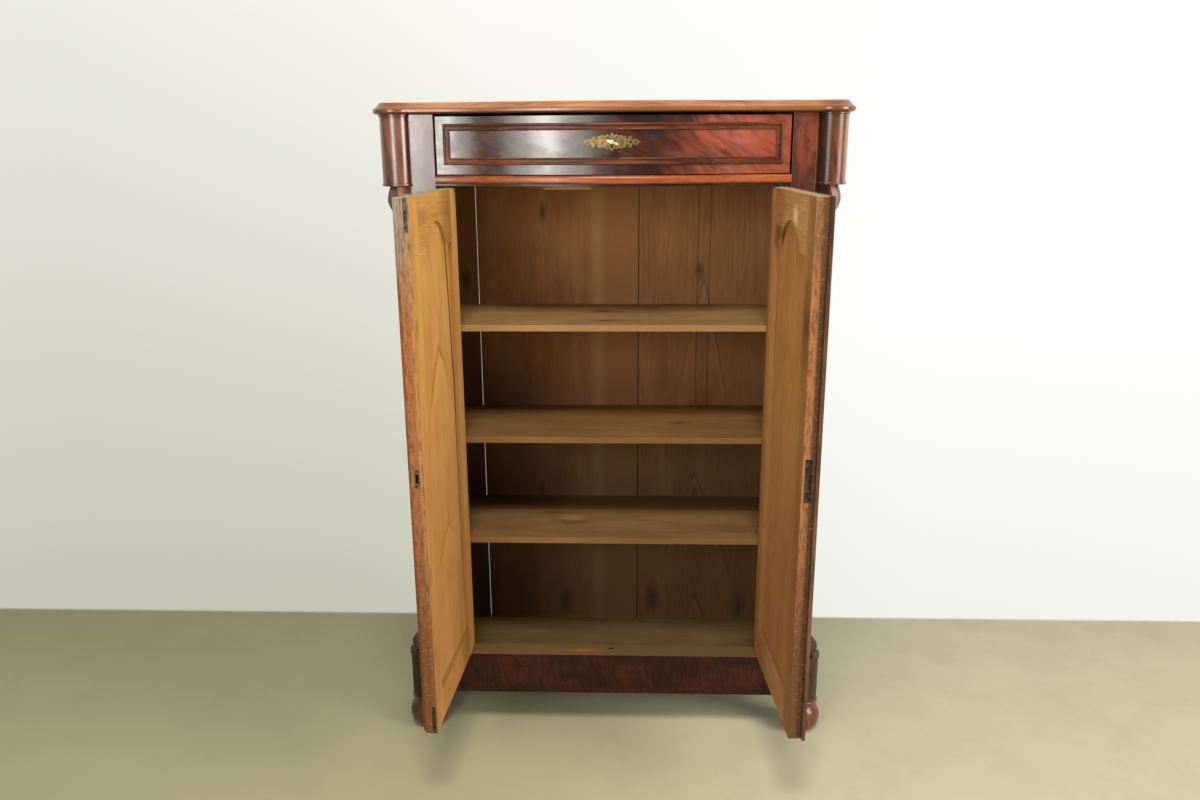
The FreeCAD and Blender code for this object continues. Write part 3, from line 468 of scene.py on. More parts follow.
# Paler pine of the door stop and the drawer's back
stopPine = pineMaterial("stopPine", {
    **casePine, "along": "X", "base": "c08c5e", "pale": "d4a676"})
print("pine made")

# Door wood: waxed pine inside, honey coloured, with painted shade browner towards the floor;
# veneer outside; and the rubbed core showing on the free edge
doorPine = {"along": "Z", "base": "cf9650", "pale": "e2b069", "late": "93602b", "knot": "4a2a12",
            "wanderMm": 16.0, "taper": 0.03, "pithMm": 26.0, "ringMm": 10.0, "ringShare": 0.2,
            "fibreShare": 0.32, "rough": 0.66}
doorVeneer = {"dark": "2c130c", "base": "5c2614", "bright": "8a3c1c", "driftMm": (120, 420),
              "lean": 14, "bendMm": 40, "featherMm": (14, 150),
              "rough": 0.22, "frameDepth": 9.2 * mm, "panelDepth": 10.0 * mm, "blend": 0.3 * mm}
# dust on the upper edge, painted shade browner low down, and dust on the bottom rail's ledge
doorTop = {"axis": "Z", "start": 1.3478, "end": 1.3486, "hex": "a99b79", "share": 0.9}
doorFootShade = {"axis": "Z", "start": 1.25, "end": 0.25, "hex": "97602f", "share": 0.45}
railDirt = {"axis": "Z", "start": 0.2925, "end": 0.2938, "hex": "6a4a28", "share": 0.4}
edgeReach = {"free": (4.0, 3.0), "step": (11, 10), "hollow": (3.6, 4.6)}  # mm from the middle
edgeDepth = {"lip": (7.5 * mm, 7.0 * mm), "behind": (8 * mm, 9 * mm),
             "before": (30 * mm, 29.5 * mm)}  # from the front: the lip, and the mortises
# the mortise colour is painted shade inside the mortises
edgeWear = {"share": 0.95, "mottle": (5, 26, 4.0, 9.1), "scratch": (9, 2.2, 2.0, 4.4),
            "ragged": 9 * mm, "turn": 3.5 * mm, "stain": (0.46, 0.66), "stainShare": 0.85,
            "mark": (0.56, 0.72), "markShare": 0.4, "mortise": "1c120a"}


def doorMaterial(name, pine, veneerTo, dirt=(), edge=None):
    material, tree, shader = newMaterial(name)
    axes, grain = grainPlace(tree, pine["along"], pine["turn"])
    inside, ring, fibre = pineColour(tree, axes, grain, pine)
    outside = veneerColour(tree, axes, grain, doorVeneer)[0]
    frontShare = addNode(tree, "ShaderNodeMapRange",
                         {0: axes["Y"], 1: veneerTo, 2: veneerTo + doorVeneer["blend"],
                          3: 1.0, 4: 0.0})
    colour = addNode(tree, "ShaderNodeMix", {0: frontShare, 6: inside, 7: outside},
                     out=2, data_type="RGBA")
    layers = []
    if edge:  # the edge that meets the other door: darker towards the front
        free, step, hollow = (
            addNode(tree, "ShaderNodeMapRange",
                    {0: axes["X"], 1: edge["sign"] * start * mm, 2: edge["sign"] * end * mm})
            for start, end in edgeReach.values())
        lip, behind, before = (
            addNode(tree, "ShaderNodeMapRange", {0: axes["Y"], 1: start, 2: end})
            for start, end in edgeDepth.values())
        step = addNode(tree, "ShaderNodeMath", {0: step, 1: lip}, operation="MULTIPLY")
        edgeShare = addNode(tree, "ShaderNodeMath", {0: free, 1: step}, operation="MAXIMUM")
        edgeShare = addNode(tree, "ShaderNodeMath", {0: edgeShare, 1: edgeWear["share"]},
                            operation="MULTIPLY")
        mottle = woodStreaks(tree, grain, *edgeWear["mottle"])
        scratch = woodStreaks(tree, grain, *edgeWear["scratch"])  # fine marks across the edge
        worn = addNode(tree, "ShaderNodeMath", {0: mottle, 1: edgeWear["ragged"], 2: axes["Y"]},
                       operation="MULTIPLY_ADD")
        worn = addNode(tree, "ShaderNodeMapRange",
                       {0: worn, 1: edge["turnAt"], 2: edge["turnAt"] + edgeWear["turn"]})
        rubbed = addNode(tree, "ShaderNodeMix",
                         {0: worn, 6: linear(edge["dark"]), 7: linear(edge["pale"])},
                         out=2, data_type="RGBA")
        stain = addNode(tree, "ShaderNodeMapRange",
                        {0: mottle, 1: edgeWear["stain"][0], 2: edgeWear["stain"][1],
                         3: 0.0, 4: edgeWear["stainShare"]})
        mark = addNode(tree, "ShaderNodeMapRange",
                       {0: scratch, 1: edgeWear["mark"][0], 2: edgeWear["mark"][1],
                        3: 0.0, 4: edgeWear["markShare"]})
        wear = tintLayers(tree, axes, edge["tints"])
        wear += [(stain, edge["speck"]), (mark, edge["mark"])]
        for share, hexText in wear:
            rubbed = addNode(tree, "ShaderNodeMix", {0: share, 6: rubbed, 7: linear(hexText)},
                             out=2, data_type="RGBA")
        colour = addNode(tree, "ShaderNodeMix", {0: edgeShare, 6: colour, 7: rubbed},
                         out=2, data_type="RGBA")
        hollow = addNode(tree, "ShaderNodeMath", {0: hollow, 1: behind}, operation="MULTIPLY")
        hollow = addNode(tree, "ShaderNodeMath", {0: hollow, 1: before}, operation="MULTIPLY")
        layers.append((hollow, edgeWear["mortise"]))  # painted shade: the mortises are dark inside
    layers += tintLayers(tree, axes, [*dirt, doorTop])
    for share, hexText in layers:
        colour = addNode(tree, "ShaderNodeMix", {0: share, 6: colour, 7: linear(hexText)},
                         out=2, data_type="RGBA")
    rough = addNode(tree, "ShaderNodeMapRange",
                    {0: frontShare, 3: pine["rough"], 4: doorVeneer["rough"]})
    setSockets(tree, shader, {"Base Color": colour, "Roughness": rough, "IOR": 1.5,
                              "Normal": pineRelief(tree, ring, fibre, 0.2),
                              "Specular IOR Level": 0.35})
    return material


doors = {
    "left": {
        "sign": -1, "pine": {"turn": leftDoor, "tints": [doorFootShade]},
        "reveal": "8a5a2c", "hingeDark": [], "stile": [],
        "panel": {  # it has shrunk and torn beside the hinge stile
            "splits": [{"across": -0.4035, "lean": -0.0867, "mm": 8.0, "share": 0.95,
                        "reach": (0.78, 1.32)},
                       {"across": -0.3215, "mm": 6.0, "share": 0.75, "reach": (0.36, 0.98)},
                       {"across": -0.0745, "mm": 4.0, "share": 0.55, "reach": (0.28, 0.98)}],
            "knots": [{"across": -0.0905, "along": 0.875, "mm": 7, "share": 0.6}]},
        "railWood": {},
        "rail": [{"spot": (-0.1, 0.032, 1.305), "size": (0.05, 0.1, 0.026), "hex": "a8692c",
                  "share": 0.45}],  # dark figure about a knot
        "edge": {"turnAt": 28 * mm, "dark": "945932", "pale": "a87540", "speck": "5c3218",
                 "mark": "b98a55",
                 "tints": [{"axis": "Z", "start": 1.12, "end": 1.3, "hex": "867c69",
                            "share": 0.85},
                           {"axis": "Z", "start": 0.85, "end": 0.35, "hex": "54301a",
                            "share": 0.75}]}},
    "right": {  # browner, and darker by the lock
        "sign": 1,
        "pine": {"turn": rightDoor, "base": "c58b50", "pale": "d8a266", "late": "7c4c25",
                 "archShare": 0.35,
                 # painted shade towards the floor, stronger on this door
                 "tints": [{**doorFootShade, "hex": "7c4e28", "share": 0.56},
                           {"axis": "X", "start": 0.075, "end": 0.02, "hex": "6e4525",
                            "share": 0.4}]},
        "reveal": "76502e",
        # darker towards the hinge
        "hingeDark": [{"axis": "X", "start": 0.345, "end": 0.372, "hex": "5c4229", "share": 0.5}],
        "stile": [{"spot": (0.03, 0.032, 1.1), "size": (0.05, 0.1, 0.14), "hex": "573820",
                   "share": 0.65}],  # handled dark above the lock
        "panel": {"splits": [{"across": 0.319, "mm": 5.0, "share": 0.65, "reach": (0.92, 1.26)},
                             {"across": 0.067, "mm": 3.0, "share": 0.5, "reach": (0.62, 1.27)}]},
        "railWood": {"base": "d29b60", "pale": "e4b880"},
        "rail": [{"spot": (0.151, 0.032, 1.3), "size": (0.03, 0.1, 0.03), "hex": "f6e8ac",
                  "share": 1.0},  # a knot, painted near-white as a highlight
                 {"spot": (0.292, 0.032, 1.252), "size": (0.055, 0.03, 0.034), "hex": "53341a",
                  "share": 0.6},  # painted shade beside the arch
                 {"spot": (0.258, 0.0265, 1.262), "size": (0.07, 0.0045, 0.06), "hex": "3a220f",
                  "share": 0.85}],  # painted shade on the arch's own edge, which faces down
        "edge": {"turnAt": 18.5 * mm, "dark": "503826", "pale": "9a633a", "speck": "54351f",
                 "mark": "c08a58",
                 "tints": [{"axis": "Z", "start": 1.17, "end": 1.27, "hex": "6a4c32",
                            "share": 0.65},
                           {"axis": "Z", "start": 0.75, "end": 0.4, "hex": "4a2f1c",
                            "share": 0.8}]}},
}
panelMiddle = 0.193  # from the cabinet's middle, doors shut
frameDepth = doorVeneer["frameDepth"]
doorWoods = {}
for side, look in doors.items():
    sign = look["sign"]
    middle = sign * panelMiddle
    ownPine = {**doorPine, **look["pine"]}
    panelPine = {
        **ownPine, "heart": (middle, -0.6), "taper": 0.05, "seed": 1.0 + sign, **look["panel"],
        "arches": [{"across": middle + sign * 0.01, "apex": 1.03, "slope": 1.35, "share": 0.8},
                   {"across": middle + sign * 0.02, "apex": 0.62, "slope": 0.7, "share": 0.55}]}
    stilePine = {
        **ownPine, "heart": (sign * 0.6, -1.0), "seed": 3.0 + sign,
        "tints": ownPine["tints"] + look["stile"],
        "knots": [{"across": sign * 0.018, "along": 1.10, "mm": 9, "share": 0.5},
                  {"across": sign * 0.014, "along": 0.58, "mm": 10, "share": 0.45},
                  {"across": sign * 0.02, "along": 0.40, "mm": 7, "share": 0.4},
                  {"across": sign * 0.35, "along": 0.75, "mm": 8, "share": 0.4}]}
    railEnd = {"axis": "X", "start": sign * 0.21, "end": sign * 0.29, "hex": "7d5028",
               "share": 0.45}  # browner towards the hinge
    railPine = {
        **ownPine, "along": "X", "heart": (1.31, sign * 0.5), "late": "754a22", "ringShare": 0.3,
        "ringMm": 7.0, "fibreShare": 0.5, "seed": 5.0 + sign, **look["railWood"],
        "tints": ownPine["tints"] + [railEnd] + look["rail"]}
    revealShade = {"axis": "X", "start": sign * 0.3279, "end": sign * 0.3267, "hex": look["reveal"],
                 "share": 0.7}  # painted shade in the reveal beside the panel
    doorWoods[side] = {
        "panel": doorMaterial(side + "DoorPanelPine", panelPine, doorVeneer["panelDepth"]),
        "hinge_stile": doorMaterial(side + "DoorHingeStilePine", stilePine, frameDepth,
                                    [revealShade] + look["hingeDark"]),
        "meeting_stile": doorMaterial(side + "DoorMeetingStilePine", stilePine, frameDepth,
                                      edge={"sign": sign, **look["edge"]}),
        "top_rail": doorMaterial(side + "DoorTopRailPine", railPine, frameDepth),
        "bottom_rail": doorMaterial(side + "DoorBottomRailPine", railPine, frameDepth, [railDirt]),
    }
print("door woods made")

# Mahogany of the case: the sheet that its woods start from, and what each of them changes
caseVeneer = {"along": "Z", "dark": "24110b", "base": "4a2213", "bright": "6e3419",
              "driftMm": (60, 200), "lean": 10, "bendMm": 30, "featherMm": (12, 140),
              "rough": (0.22, 0.4), "coat": 0.55, "gloss": 0.4, "ripple": 1.5}
columnWood = {"seed": 2.0, "rough": (0.3, 0.42), "ripple": 0.4}
turnedWood = {"lean": 0, "featherMm": (6, 90), "ripple": 0.5}
topEnd = {"axis": "X", "start": 0.42, "end": 0.47, "hex": "6e3a22", "share": 0.65}
caseWoods = {
    "post": {  # polished and mottled, redder on the right post and dull low down
        "seed": 1.0, "dark": "2a130b", "base": "47200f", "bright": "5f2c16", "driftMm": (22, 60),
        "rough": (0.24, 0.44), "coat": 1.0, "ripple": 3.0,
        "patches": [{"axis": "X", "start": 0.37, "end": 0.41, "hex": "803c28", "share": 0.75,
                     "tone": (0.52, 0.74)}],
        "tints": [{"axis": "Z", "start": 1.42, "end": 1.36, "hex": "32190f", "share": 0.6}]},
    "column": {  # the right column: painted shade inwards, and a painted pale highlight on its outer side
        **columnWood, "base": "5e3220", "bright": "7c452c", "coat": 0.4, "gloss": 0.3,
        "tints": [{"axis": "X", "start": 0.484, "end": 0.452, "hex": "1e100a", "share": 0.8},
                  {"axis": "X", "start": 0.49, "end": 0.505, "hex": "c49c8e", "share": 0.75}]},
    "palerColumn": {  # the left column: painted paler as a highlight, glossier, darker on its outer side
        **columnWood, "dark": "3a2018", "base": "6e4433", "bright": "8a5a46", "coat": 1.0,
        "gloss": 0.6,
        "tints": [{"axis": "X", "start": -0.49, "end": -0.506, "hex": "3a2218", "share": 0.5}]},
    "leftConsole": {  # brown, its inner flank painted pale for the light that falls on it
        **columnWood, "dark": "2c1911", "base": "54362a", "bright": "6c4838", "coat": 0.4,
        "tints": [{"axis": "X", "start": -0.475, "end": -0.466, "hex": "b88474", "share": 0.85}]},
    "rightConsole": {  # pinkish brown, a painted window reflection on its front; painted shade on the inner flank
        **columnWood, "dark": "4a2e24", "base": "8e6658", "bright": "a88272", "coat": 1.0,
        "gloss": 0.6,
        "tints": [{"axis": "X", "start": 0.475, "end": 0.466, "hex": "2e1c14", "share": 0.8}]},
    "side": {  # plainer sheets with a dull old polish
        "seed": 3.0, "driftMm": (160, 600), "featherMm": (18, 240), "rough": (0.42, 0.56),
        "coat": 0.1, "gloss": 0.25},
    "flame": {  # the drawer: nearly black, with a red flame that grows to the right
        "along": "X", "dark": "170a06", "base": "2c130a", "bright": "4a2010",
        "driftMm": (80, 150), "lean": 40, "bendMm": 34, "featherMm": (13, 150),
        "featherDetail": 2.2, "seed": 4.6, "coat": 0.8, "gloss": 0.6, "rough": (0.14, 0.34),
        "ripple": 3.0,
        "patches": [{"axis": "X", "start": 0.085, "end": 0.21, "hex": "984a34", "share": 0.95,
                     "tone": (0.46, 0.8)}]},
    "bead": {  # straight-grained solid strips, nearly matt
        "along": "X", "base": "522715", "bright": "7a3f22", "lean": 0, "bendMm": 6,
        "featherMm": (5, 120), "seed": 5.0, "coat": 0.12, "gloss": 0.25, "rough": (0.32, 0.48)},
    "top": {  # tan on top, sun-bleached and partly a painted highlight; red-brown on the moulding; painted shade under its lip
        "along": "X", "dark": "7a4829", "base": "a26b45", "bright": "ba865c", "lean": 0,
        "bendMm": 10, "featherMm": (5, 160), "seed": 6.0, "rough": (0.26, 0.4), "ripple": 0.5,
        "tints": [{"axis": "Z", "start": 1.520, "end": 1.513, "hex": "7a3f22", "share": 0.75},
                  {"axis": "Z", "start": 1.510, "end": 1.5055, "hex": "2a160d", "share": 0.9},
                  {**topEnd, "start": -topEnd["start"], "end": -topEnd["end"]}, topEnd]},
    "rail": {  # the moulding under the drawer, bright orange-brown
        "along": "X", "dark": "682d13", "base": "8a421d", "bright": "a55829", "lean": 0,
        "bendMm": 8, "featherMm": (5, 140), "seed": 7.0, "coat": 0.3, "ripple": 0.3},
    "plinth": {  # dull and nearly black, dusty on its ledge, with one bare patch
        "along": "X", "dark": "1c0d08", "base": "2f170e", "bright": "472114", "lean": 84,
        "seed": 8.0, "featherMm": (7, 60), "coat": 0.0, "gloss": 0.2, "ripple": 2.5,
        "tints": [{"axis": "Z", "start": 0.2172, "end": 0.2178, "hex": "77603f", "share": 0.9},
                  {"spot": (-0.073, 0.014, 0.2178), "size": (0.065, 0.01, 0.006),
                   "hex": "a8693d", "share": 0.85}]},
    "drawerRail": {  # dark, in the drawer's shade
        "along": "X", "dark": "1d0d08", "base": "331a0f", "bright": "4a2616", "seed": 8.5,
        "coat": 0.2},
    "block": {  # grey-brown, its polish gone
        "base": "3c2418", "bright": "543526", "seed": 9.0, "coat": 0.2, "rough": (0.36, 0.5)},
    "darkBlock": {  # the left block, painted darker as shade
        "dark": "1a110c", "base": "2c2018", "bright": "40301f", "seed": 9.5, "coat": 0.0,
        "gloss": 0.2, "rough": (0.46, 0.6)},
    "turned": {  # the right foot: solid, red-brown, with a soft shine
        **turnedWood, "dark": "3a1a11", "base": "64301f", "bright": "86482f", "seed": 10.0,
        "rough": (0.3, 0.42), "coat": 0.45},
    "darkTurned": {  # the left foot and volute: the same, painted darker and duller as shade
        **turnedWood, "dark": "22110b", "base": "3c1f15", "bright": "54301f", "seed": 10.5,
        "rough": (0.34, 0.46), "coat": 0.3},
    "astragal": {  # grey-brown and handled
        "dark": "321e15", "base": "543829", "bright": "704c37", "seed": 11.0, "coat": 0.2},
    "rubbed": {  # corners where the polish is rubbed off: lighter and matt
        "dark": "452312", "base": "6a3a1f", "bright": "8a5230", "seed": 12.0,
        "rough": (0.32, 0.46), "coat": 0.2},
}
mahogany = {name: veneerMaterial(name + "Mahogany", {**caseVeneer, **wood})
            for name, wood in caseWoods.items()}
print("mahogany made")

# Joinery gets eased edges: a copy of the node, merged, with its corners rubbed round
easeForm = {"mergeMm": 0.01, "flatDegrees": 0.2, "sharpDegrees": 32, "segments": 2}


def easedPiece(node, material, easeMm, slotName, edgeMaterial=None):
    mesh = nodes[node].data.copy()
    shape = bmesh.new()
    shape.from_mesh(mesh)
    bmesh.ops.remove_doubles(shape, verts=shape.verts, dist=easeForm["mergeMm"] * mm)
    bmesh.ops.dissolve_limit(shape, angle_limit=math.radians(easeForm["flatDegrees"]),
                             verts=shape.verts, edges=shape.edges)
    for face in shape.faces:
        face.smooth = True
        face.material_index = 0
    shape.to_mesh(mesh)
    shape.free()
    piece = bpy.data.objects.new(node + "_eased", mesh)
    bpy.context.scene.collection.objects.link(piece)
    mesh.materials.clear()
    mesh.materials.append(material)
    mesh.materials.append(edgeMaterial or material)
    ease = piece.modifiers.new("eased edges", "BEVEL")
    ease.width = easeMm * mm
    ease.segments = easeForm["segments"]
    ease.limit_method = "ANGLE"
    ease.angle_limit = math.radians(easeForm["sharpDegrees"])
    ease.material = 1
    ease.use_clamp_overlap = True
    weighted = piece.modifiers.new("flat faces", "WEIGHTED_NORMAL")
    weighted.keep_sharp = False
    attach(piece, nodes[node]["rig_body"])
    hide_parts(node)


easedMahogany = {  # wood, millimetres, wood of the eased edge where it is another
    "corner_post_left": ("post", 0.9, "rubbed"), "corner_post_right": ("post", 0.9, "rubbed"),
    "frieze_column_left": ("palerColumn", 0.8, "rubbed"),
    "frieze_column_right": ("column", 0.8, "rubbed"),
    "plinth_block_left": ("darkBlock", 0.8, None),
    "plinth_block_right": ("block", 0.8, "rubbed"),
    "scroll_console_left": ("leftConsole", 3.0, None),
    "scroll_console_right": ("rightConsole", 3.0, None),
    "base_volute_left": ("darkTurned", 3.0, None), "base_volute_right": ("block", 3.0, None),
    "plinth_rail": ("plinth", 1.2, None), "drawer_front": ("flame", 0.7, "rubbed"),
    "drawer_rail": ("drawerRail", 0.6, None),
}
shelfEase = {"upper_shelf": 1.0, "middle_shelf": 1.0, "lower_shelf": 1.0, "bottom_board": 0.8}
doorEase = 0.9
eased = [(node, mahogany[wood], easeMm, "mahogany", mahogany.get(edgeWood))
         for node, (wood, easeMm, edgeWood) in easedMahogany.items()]
eased += [(node, shelves[node], easeMm, "pine") for node, easeMm in shelfEase.items()]
eased += [(side + "_door_" + part, wood, doorEase, "door_wood")
          for side, woods in doorWoods.items() for part, wood in woods.items() if part != "panel"]
for piece in eased:
    easedPiece(*piece)
print("eased pieces:", len(eased))

# Nodes whose shape is right as it is
shown = {
    "top_board": mahogany["top"], "rail_moulding": mahogany["rail"],
    "drawer_bead_frame": mahogany["bead"], "side_panel_left": mahogany["side"],
    "side_panel_right": mahogany["side"], "right_door_astragal": mahogany["astragal"],
    "front_foot_left": mahogany["darkTurned"], "front_foot_right": mahogany["turned"],
    "rear_feet": mahogany["block"],
    "back_board_left": backLeft, "back_board_middle": backMiddle, "back_board_right": backRight,
    "shelf_cleats": cleatPine, "drawer_runners": cleatPine, "drawer_kickers": cleatPine,
    "door_stop": stopPine, "drawer_back": stopPine, "drawer_side_left": drawerPine,
    "drawer_side_right": drawerPine, "drawer_bottom": drawerPine,
    "drawer_escutcheon": brass, "right_door_keyhole_plate": brass, "left_door_strike": brass,
    "drawer_lock_case": iron, "drawer_lock_bolt": iron, "right_door_lock": iron,
    "right_door_lock_bolt": iron, "flush_bolt_plates": iron, "upper_flush_bolt": iron,
    "lower_flush_bolt": iron, "left_door_pivots": iron, "right_door_pivots": iron,
    "drawer_key": keySteel,
    "left_door_panel": doorWoods["left"]["panel"],
    "right_door_panel": doorWoods["right"]["panel"],
}
for node, material in shown.items():
    for slot in nodes[node].material_slots:
        slot.material = material
print("nodes dressed:", len(shown))

# Screws and pins: one head, put at each point and turned to its face
headForm = {"sides": 20, "segments": 14, "rings": 8}


def headTree(name, slotted):
    tree = bpy.data.node_groups.new(name, "GeometryNodeTree")
    face = tree.interface
    face.new_socket("Geometry", in_out="INPUT", socket_type="NodeSocketGeometry")
    for label, value in (("Radius", 2.5 * mm), ("Height", 0.5 * mm), ("Slot", 0.6 * mm)):
        socket = face.new_socket(label, in_out="INPUT", socket_type="NodeSocketFloat")
        socket.default_value = value
    face.new_socket("Metal", in_out="INPUT", socket_type="NodeSocketMaterial")
    face.new_socket("Geometry", in_out="OUTPUT", socket_type="NodeSocketGeometry")
    given = tree.nodes.new("NodeGroupInput").outputs
    if slotted:  # a flat head, filed off level, with one slot
        deep = addNode(tree, "ShaderNodeMath", {0: given["Height"], 1: 2.0}, operation="MULTIPLY")
        head = addNode(tree, "GeometryNodeMeshCylinder",
                       {"Vertices": headForm["sides"], "Radius": given["Radius"], "Depth": deep})
        length = addNode(tree, "ShaderNodeMath", {0: given["Radius"], 1: 3.0},
                         operation="MULTIPLY")
        size = addNode(tree, "ShaderNodeCombineXYZ",
                       {0: length, 1: given["Slot"], 2: given["Height"]})
        cutter = addNode(tree, "GeometryNodeMeshCube", {"Size": size})
        lift = addNode(tree, "ShaderNodeCombineXYZ", {2: given["Height"]})
        cutter = addNode(tree, "GeometryNodeTransform", {"Geometry": cutter, "Translation": lift})
        head = addNode(tree, "GeometryNodeMeshBoolean", {0: head, 1: cutter},
                       operation="DIFFERENCE")
    else:  # a low dome
        head = addNode(tree, "GeometryNodeMeshUVSphere",
                       {"Segments": headForm["segments"], "Rings": headForm["rings"],
                        "Radius": given["Radius"]})
        squash = addNode(tree, "ShaderNodeMath", {0: given["Height"], 1: given["Radius"]},
                         operation="DIVIDE")
        flat = addNode(tree, "ShaderNodeCombineXYZ", {0: 1.0, 1: 1.0, 2: squash})
        head = addNode(tree, "GeometryNodeTransform", {"Geometry": head, "Scale": flat})
    facing = addNode(tree, "GeometryNodeInputNamedAttribute", {"Name": "facing"},
                     data_type="FLOAT_VECTOR")
    turn = addNode(tree, "FunctionNodeAlignRotationToVector", {"Vector": facing}, axis="Z")
    points = addNode(tree, "GeometryNodeMeshToPoints", {"Mesh": given["Geometry"]})
    placed = addNode(tree, "GeometryNodeInstanceOnPoints",
                     {"Points": points, "Instance": head, "Rotation": turn})
    real = addNode(tree, "GeometryNodeRealizeInstances", {"Geometry": placed})
    dressed = addNode(tree, "GeometryNodeSetMaterial",
                      {"Geometry": real, "Material": given["Metal"]})
    out = tree.nodes.new("NodeGroupOutput")
    tree.links.new(dressed, out.inputs["Geometry"])
    return tree


def putHeads(name, tree, body, heads):
    seats = bpy.data.meshes.new(name + "Seats")
    seats.from_pydata([seat for seat, facing in heads["seats"]], [], [])
    attribute = seats.attributes.new("facing", "FLOAT_VECTOR", "POINT")
    for item, (seat, facing) in zip(attribute.data, heads["seats"]):
        item.vector = facing
    holder = bpy.data.objects.new(name + "Seats", seats)
    bpy.context.scene.collection.objects.link(holder)
    modifier = holder.modifiers.new("heads", "NODES")
    modifier.node_group = tree
    for item in tree.interface.items_tree:
        if item.in_out == "INPUT" and item.name in heads:
            modifier[item.identifier] = heads[item.name]
    evaluated = holder.evaluated_get(bpy.context.evaluated_depsgraph_get())
    mesh = bpy.data.meshes.new_from_object(evaluated)
    bpy.data.objects.remove(holder)
    piece = bpy.data.objects.new(name, mesh)
    bpy.context.scene.collection.objects.link(piece)
    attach(piece, body)
    print(name, len(heads["seats"]), "heads")


def shutPoint(door, x, y, z):  # from the shut door, in millimetres, to where it stands open
    pivot = Vector(door["pivot"])
    turn = Matrix.Rotation(-door["angle"], 4, "Z")
    return pivot + turn @ (Vector((x, y, z)) * mm - pivot)


def shutFacing(door, direction):
    return Matrix.Rotation(-door["angle"], 4, "Z") @ Vector(direction)


slottedTree = headTree("slottedHead", True)
domedTree = headTree("domedHead", False)
leftFacing = shutFacing(leftDoor, (1, 0, 0))
rightFacing = shutFacing(rightDoor, (-1, 0, 0))
frontFacing = shutFacing(rightDoor, (0, -1, 0))
leftScrews = {"Radius": 2.6 * mm, "Height": 0.35 * mm, "Slot": 0.7 * mm, "Metal": iron, "seats": [
    (shutPoint(leftDoor, -1.0, y, z), leftFacing)
    for y, z in ((19, 784), (19, 816), (25.7, 1290), (25.7, 1341), (25.7, 281), (25.7, 230))]}
putHeads("left_door_screws", slottedTree, "left_door", leftScrews)
rightScrews = {"Radius": 3.0 * mm, "Height": 0.35 * mm, "Slot": 0.8 * mm, "Metal": iron, "seats": [
    (shutPoint(rightDoor, 1.0, 19, z), rightFacing) for z in (763, 837)]}
putHeads("right_door_screws", slottedTree, "right_door", rightScrews)
platePins = {"Radius": 1.1 * mm, "Height": 0.5 * mm, "Metal": brass, "seats": [
    (shutPoint(rightDoor, 34.8, -1.2, z), frontFacing) for z in (789, 803)]}
putHeads("keyhole_plate_pins", domedTree, "right_door", platePins)
drawerBow = {"middle": -51.5, "twoRadii": 2131, "radius": 1065}  # the front's bow, in millimetres
drawerPins = {"Radius": 1.3 * mm, "Height": 0.6 * mm, "Metal": brass, "seats": [
    (Vector((x * mm, (drawerBow["middle"] + x * x / drawerBow["twoRadii"]) * mm, z * mm)),
     Vector((x / drawerBow["radius"], -1, 0)))
    for x, z in ((-45, 1445), (45, 1445), (0, 1460))]}
putHeads("escutcheon_pins", domedTree, "drawer", drawerPins)
backFace = 0.341  # rear of the back boards
backNails = {"Radius": 2.4 * mm, "Height": 0.5 * mm, "Metal": iron, "seats": [
    (Vector((x * mm, backFace, z * mm)), Vector((0, 1, 0)))
    for z in (136, 1365, 1491) for x in (-440, -370, -335, -150, 42, 82, 260, 440)]}
putHeads("back_nails", domedTree, "cabinet", backNails)

# Stage: a pale floor, painted lighter to the right as light falls, that ends where the wall would
# stand, and the photograph's camera
scene = bpy.context.scene
scene.view_settings.view_transform = "Standard"
floorLook = {"reach": 12.0, "left": "aeaa8a", "right": "c8c5ac", "from": -0.5, "to": 0.7,
             "worn": "8b8970", "patches": 4.4, "wornRange": (0.44, 0.72), "share": 0.2,
             "fadeFrom": 0.605, "fadeTo": 0.62}
reach = floorLook["reach"]
floorMesh = bpy.data.meshes.new("floor")
floorMesh.from_pydata([(-reach, -reach, 0), (reach, -reach, 0), (reach, reach, 0),
                       (-reach, reach, 0)], [], [(0, 1, 2, 3)])
floor = bpy.data.objects.new("floor", floorMesh)
scene.collection.objects.link(floor)
floorMaterial, tree, shader = newMaterial("paleFloor")
place = addNode(tree, "ShaderNodeTexCoord", out="Object")
spot = addNode(tree, "ShaderNodeSeparateXYZ", {0: place}).node.outputs
fade = addNode(tree, "ShaderNodeMapRange",
               {0: spot["Y"], 1: floorLook["fadeFrom"], 2: floorLook["fadeTo"]})
# painted light: the floor paler towards the right
lit = addNode(tree, "ShaderNodeMapRange",
              {0: spot["X"], 1: floorLook["from"], 2: floorLook["to"]},
              interpolation_type="SMOOTHSTEP")
tone = addNode(tree, "ShaderNodeMix",
               {0: lit, 6: linear(floorLook["left"]), 7: linear(floorLook["right"])},
               out=2, data_type="RGBA")
cloud = addNode(tree, "ShaderNodeTexNoise",
                {"Vector": place, "Scale": floorLook["patches"], "Detail": 9.0, "Roughness": 0.7})
cloud = addNode(tree, "ShaderNodeMapRange",
                {0: cloud, 1: floorLook["wornRange"][0], 2: floorLook["wornRange"][1],
                 3: 0.0, 4: floorLook["share"]})
tone = addNode(tree, "ShaderNodeMix", {0: cloud, 6: tone, 7: linear(floorLook["worn"])},
               out=2, data_type="RGBA")
setSockets(tree, shader, {"Base Color": tone, "Roughness": 0.8})
rays = addNode(tree, "ShaderNodeLightPath").node.outputs
seen = addNode(tree, "ShaderNodeMath",
               {0: rays["Is Camera Ray"], 1: rays["Is Glossy Ray"]}, operation="MAXIMUM")
seen = addNode(tree, "ShaderNodeMath", {0: seen, 1: rays["Is Transmission Ray"]},
               operation="MAXIMUM")
clearShare = addNode(tree, "ShaderNodeMath", {0: fade, 1: seen}, operation="MULTIPLY")
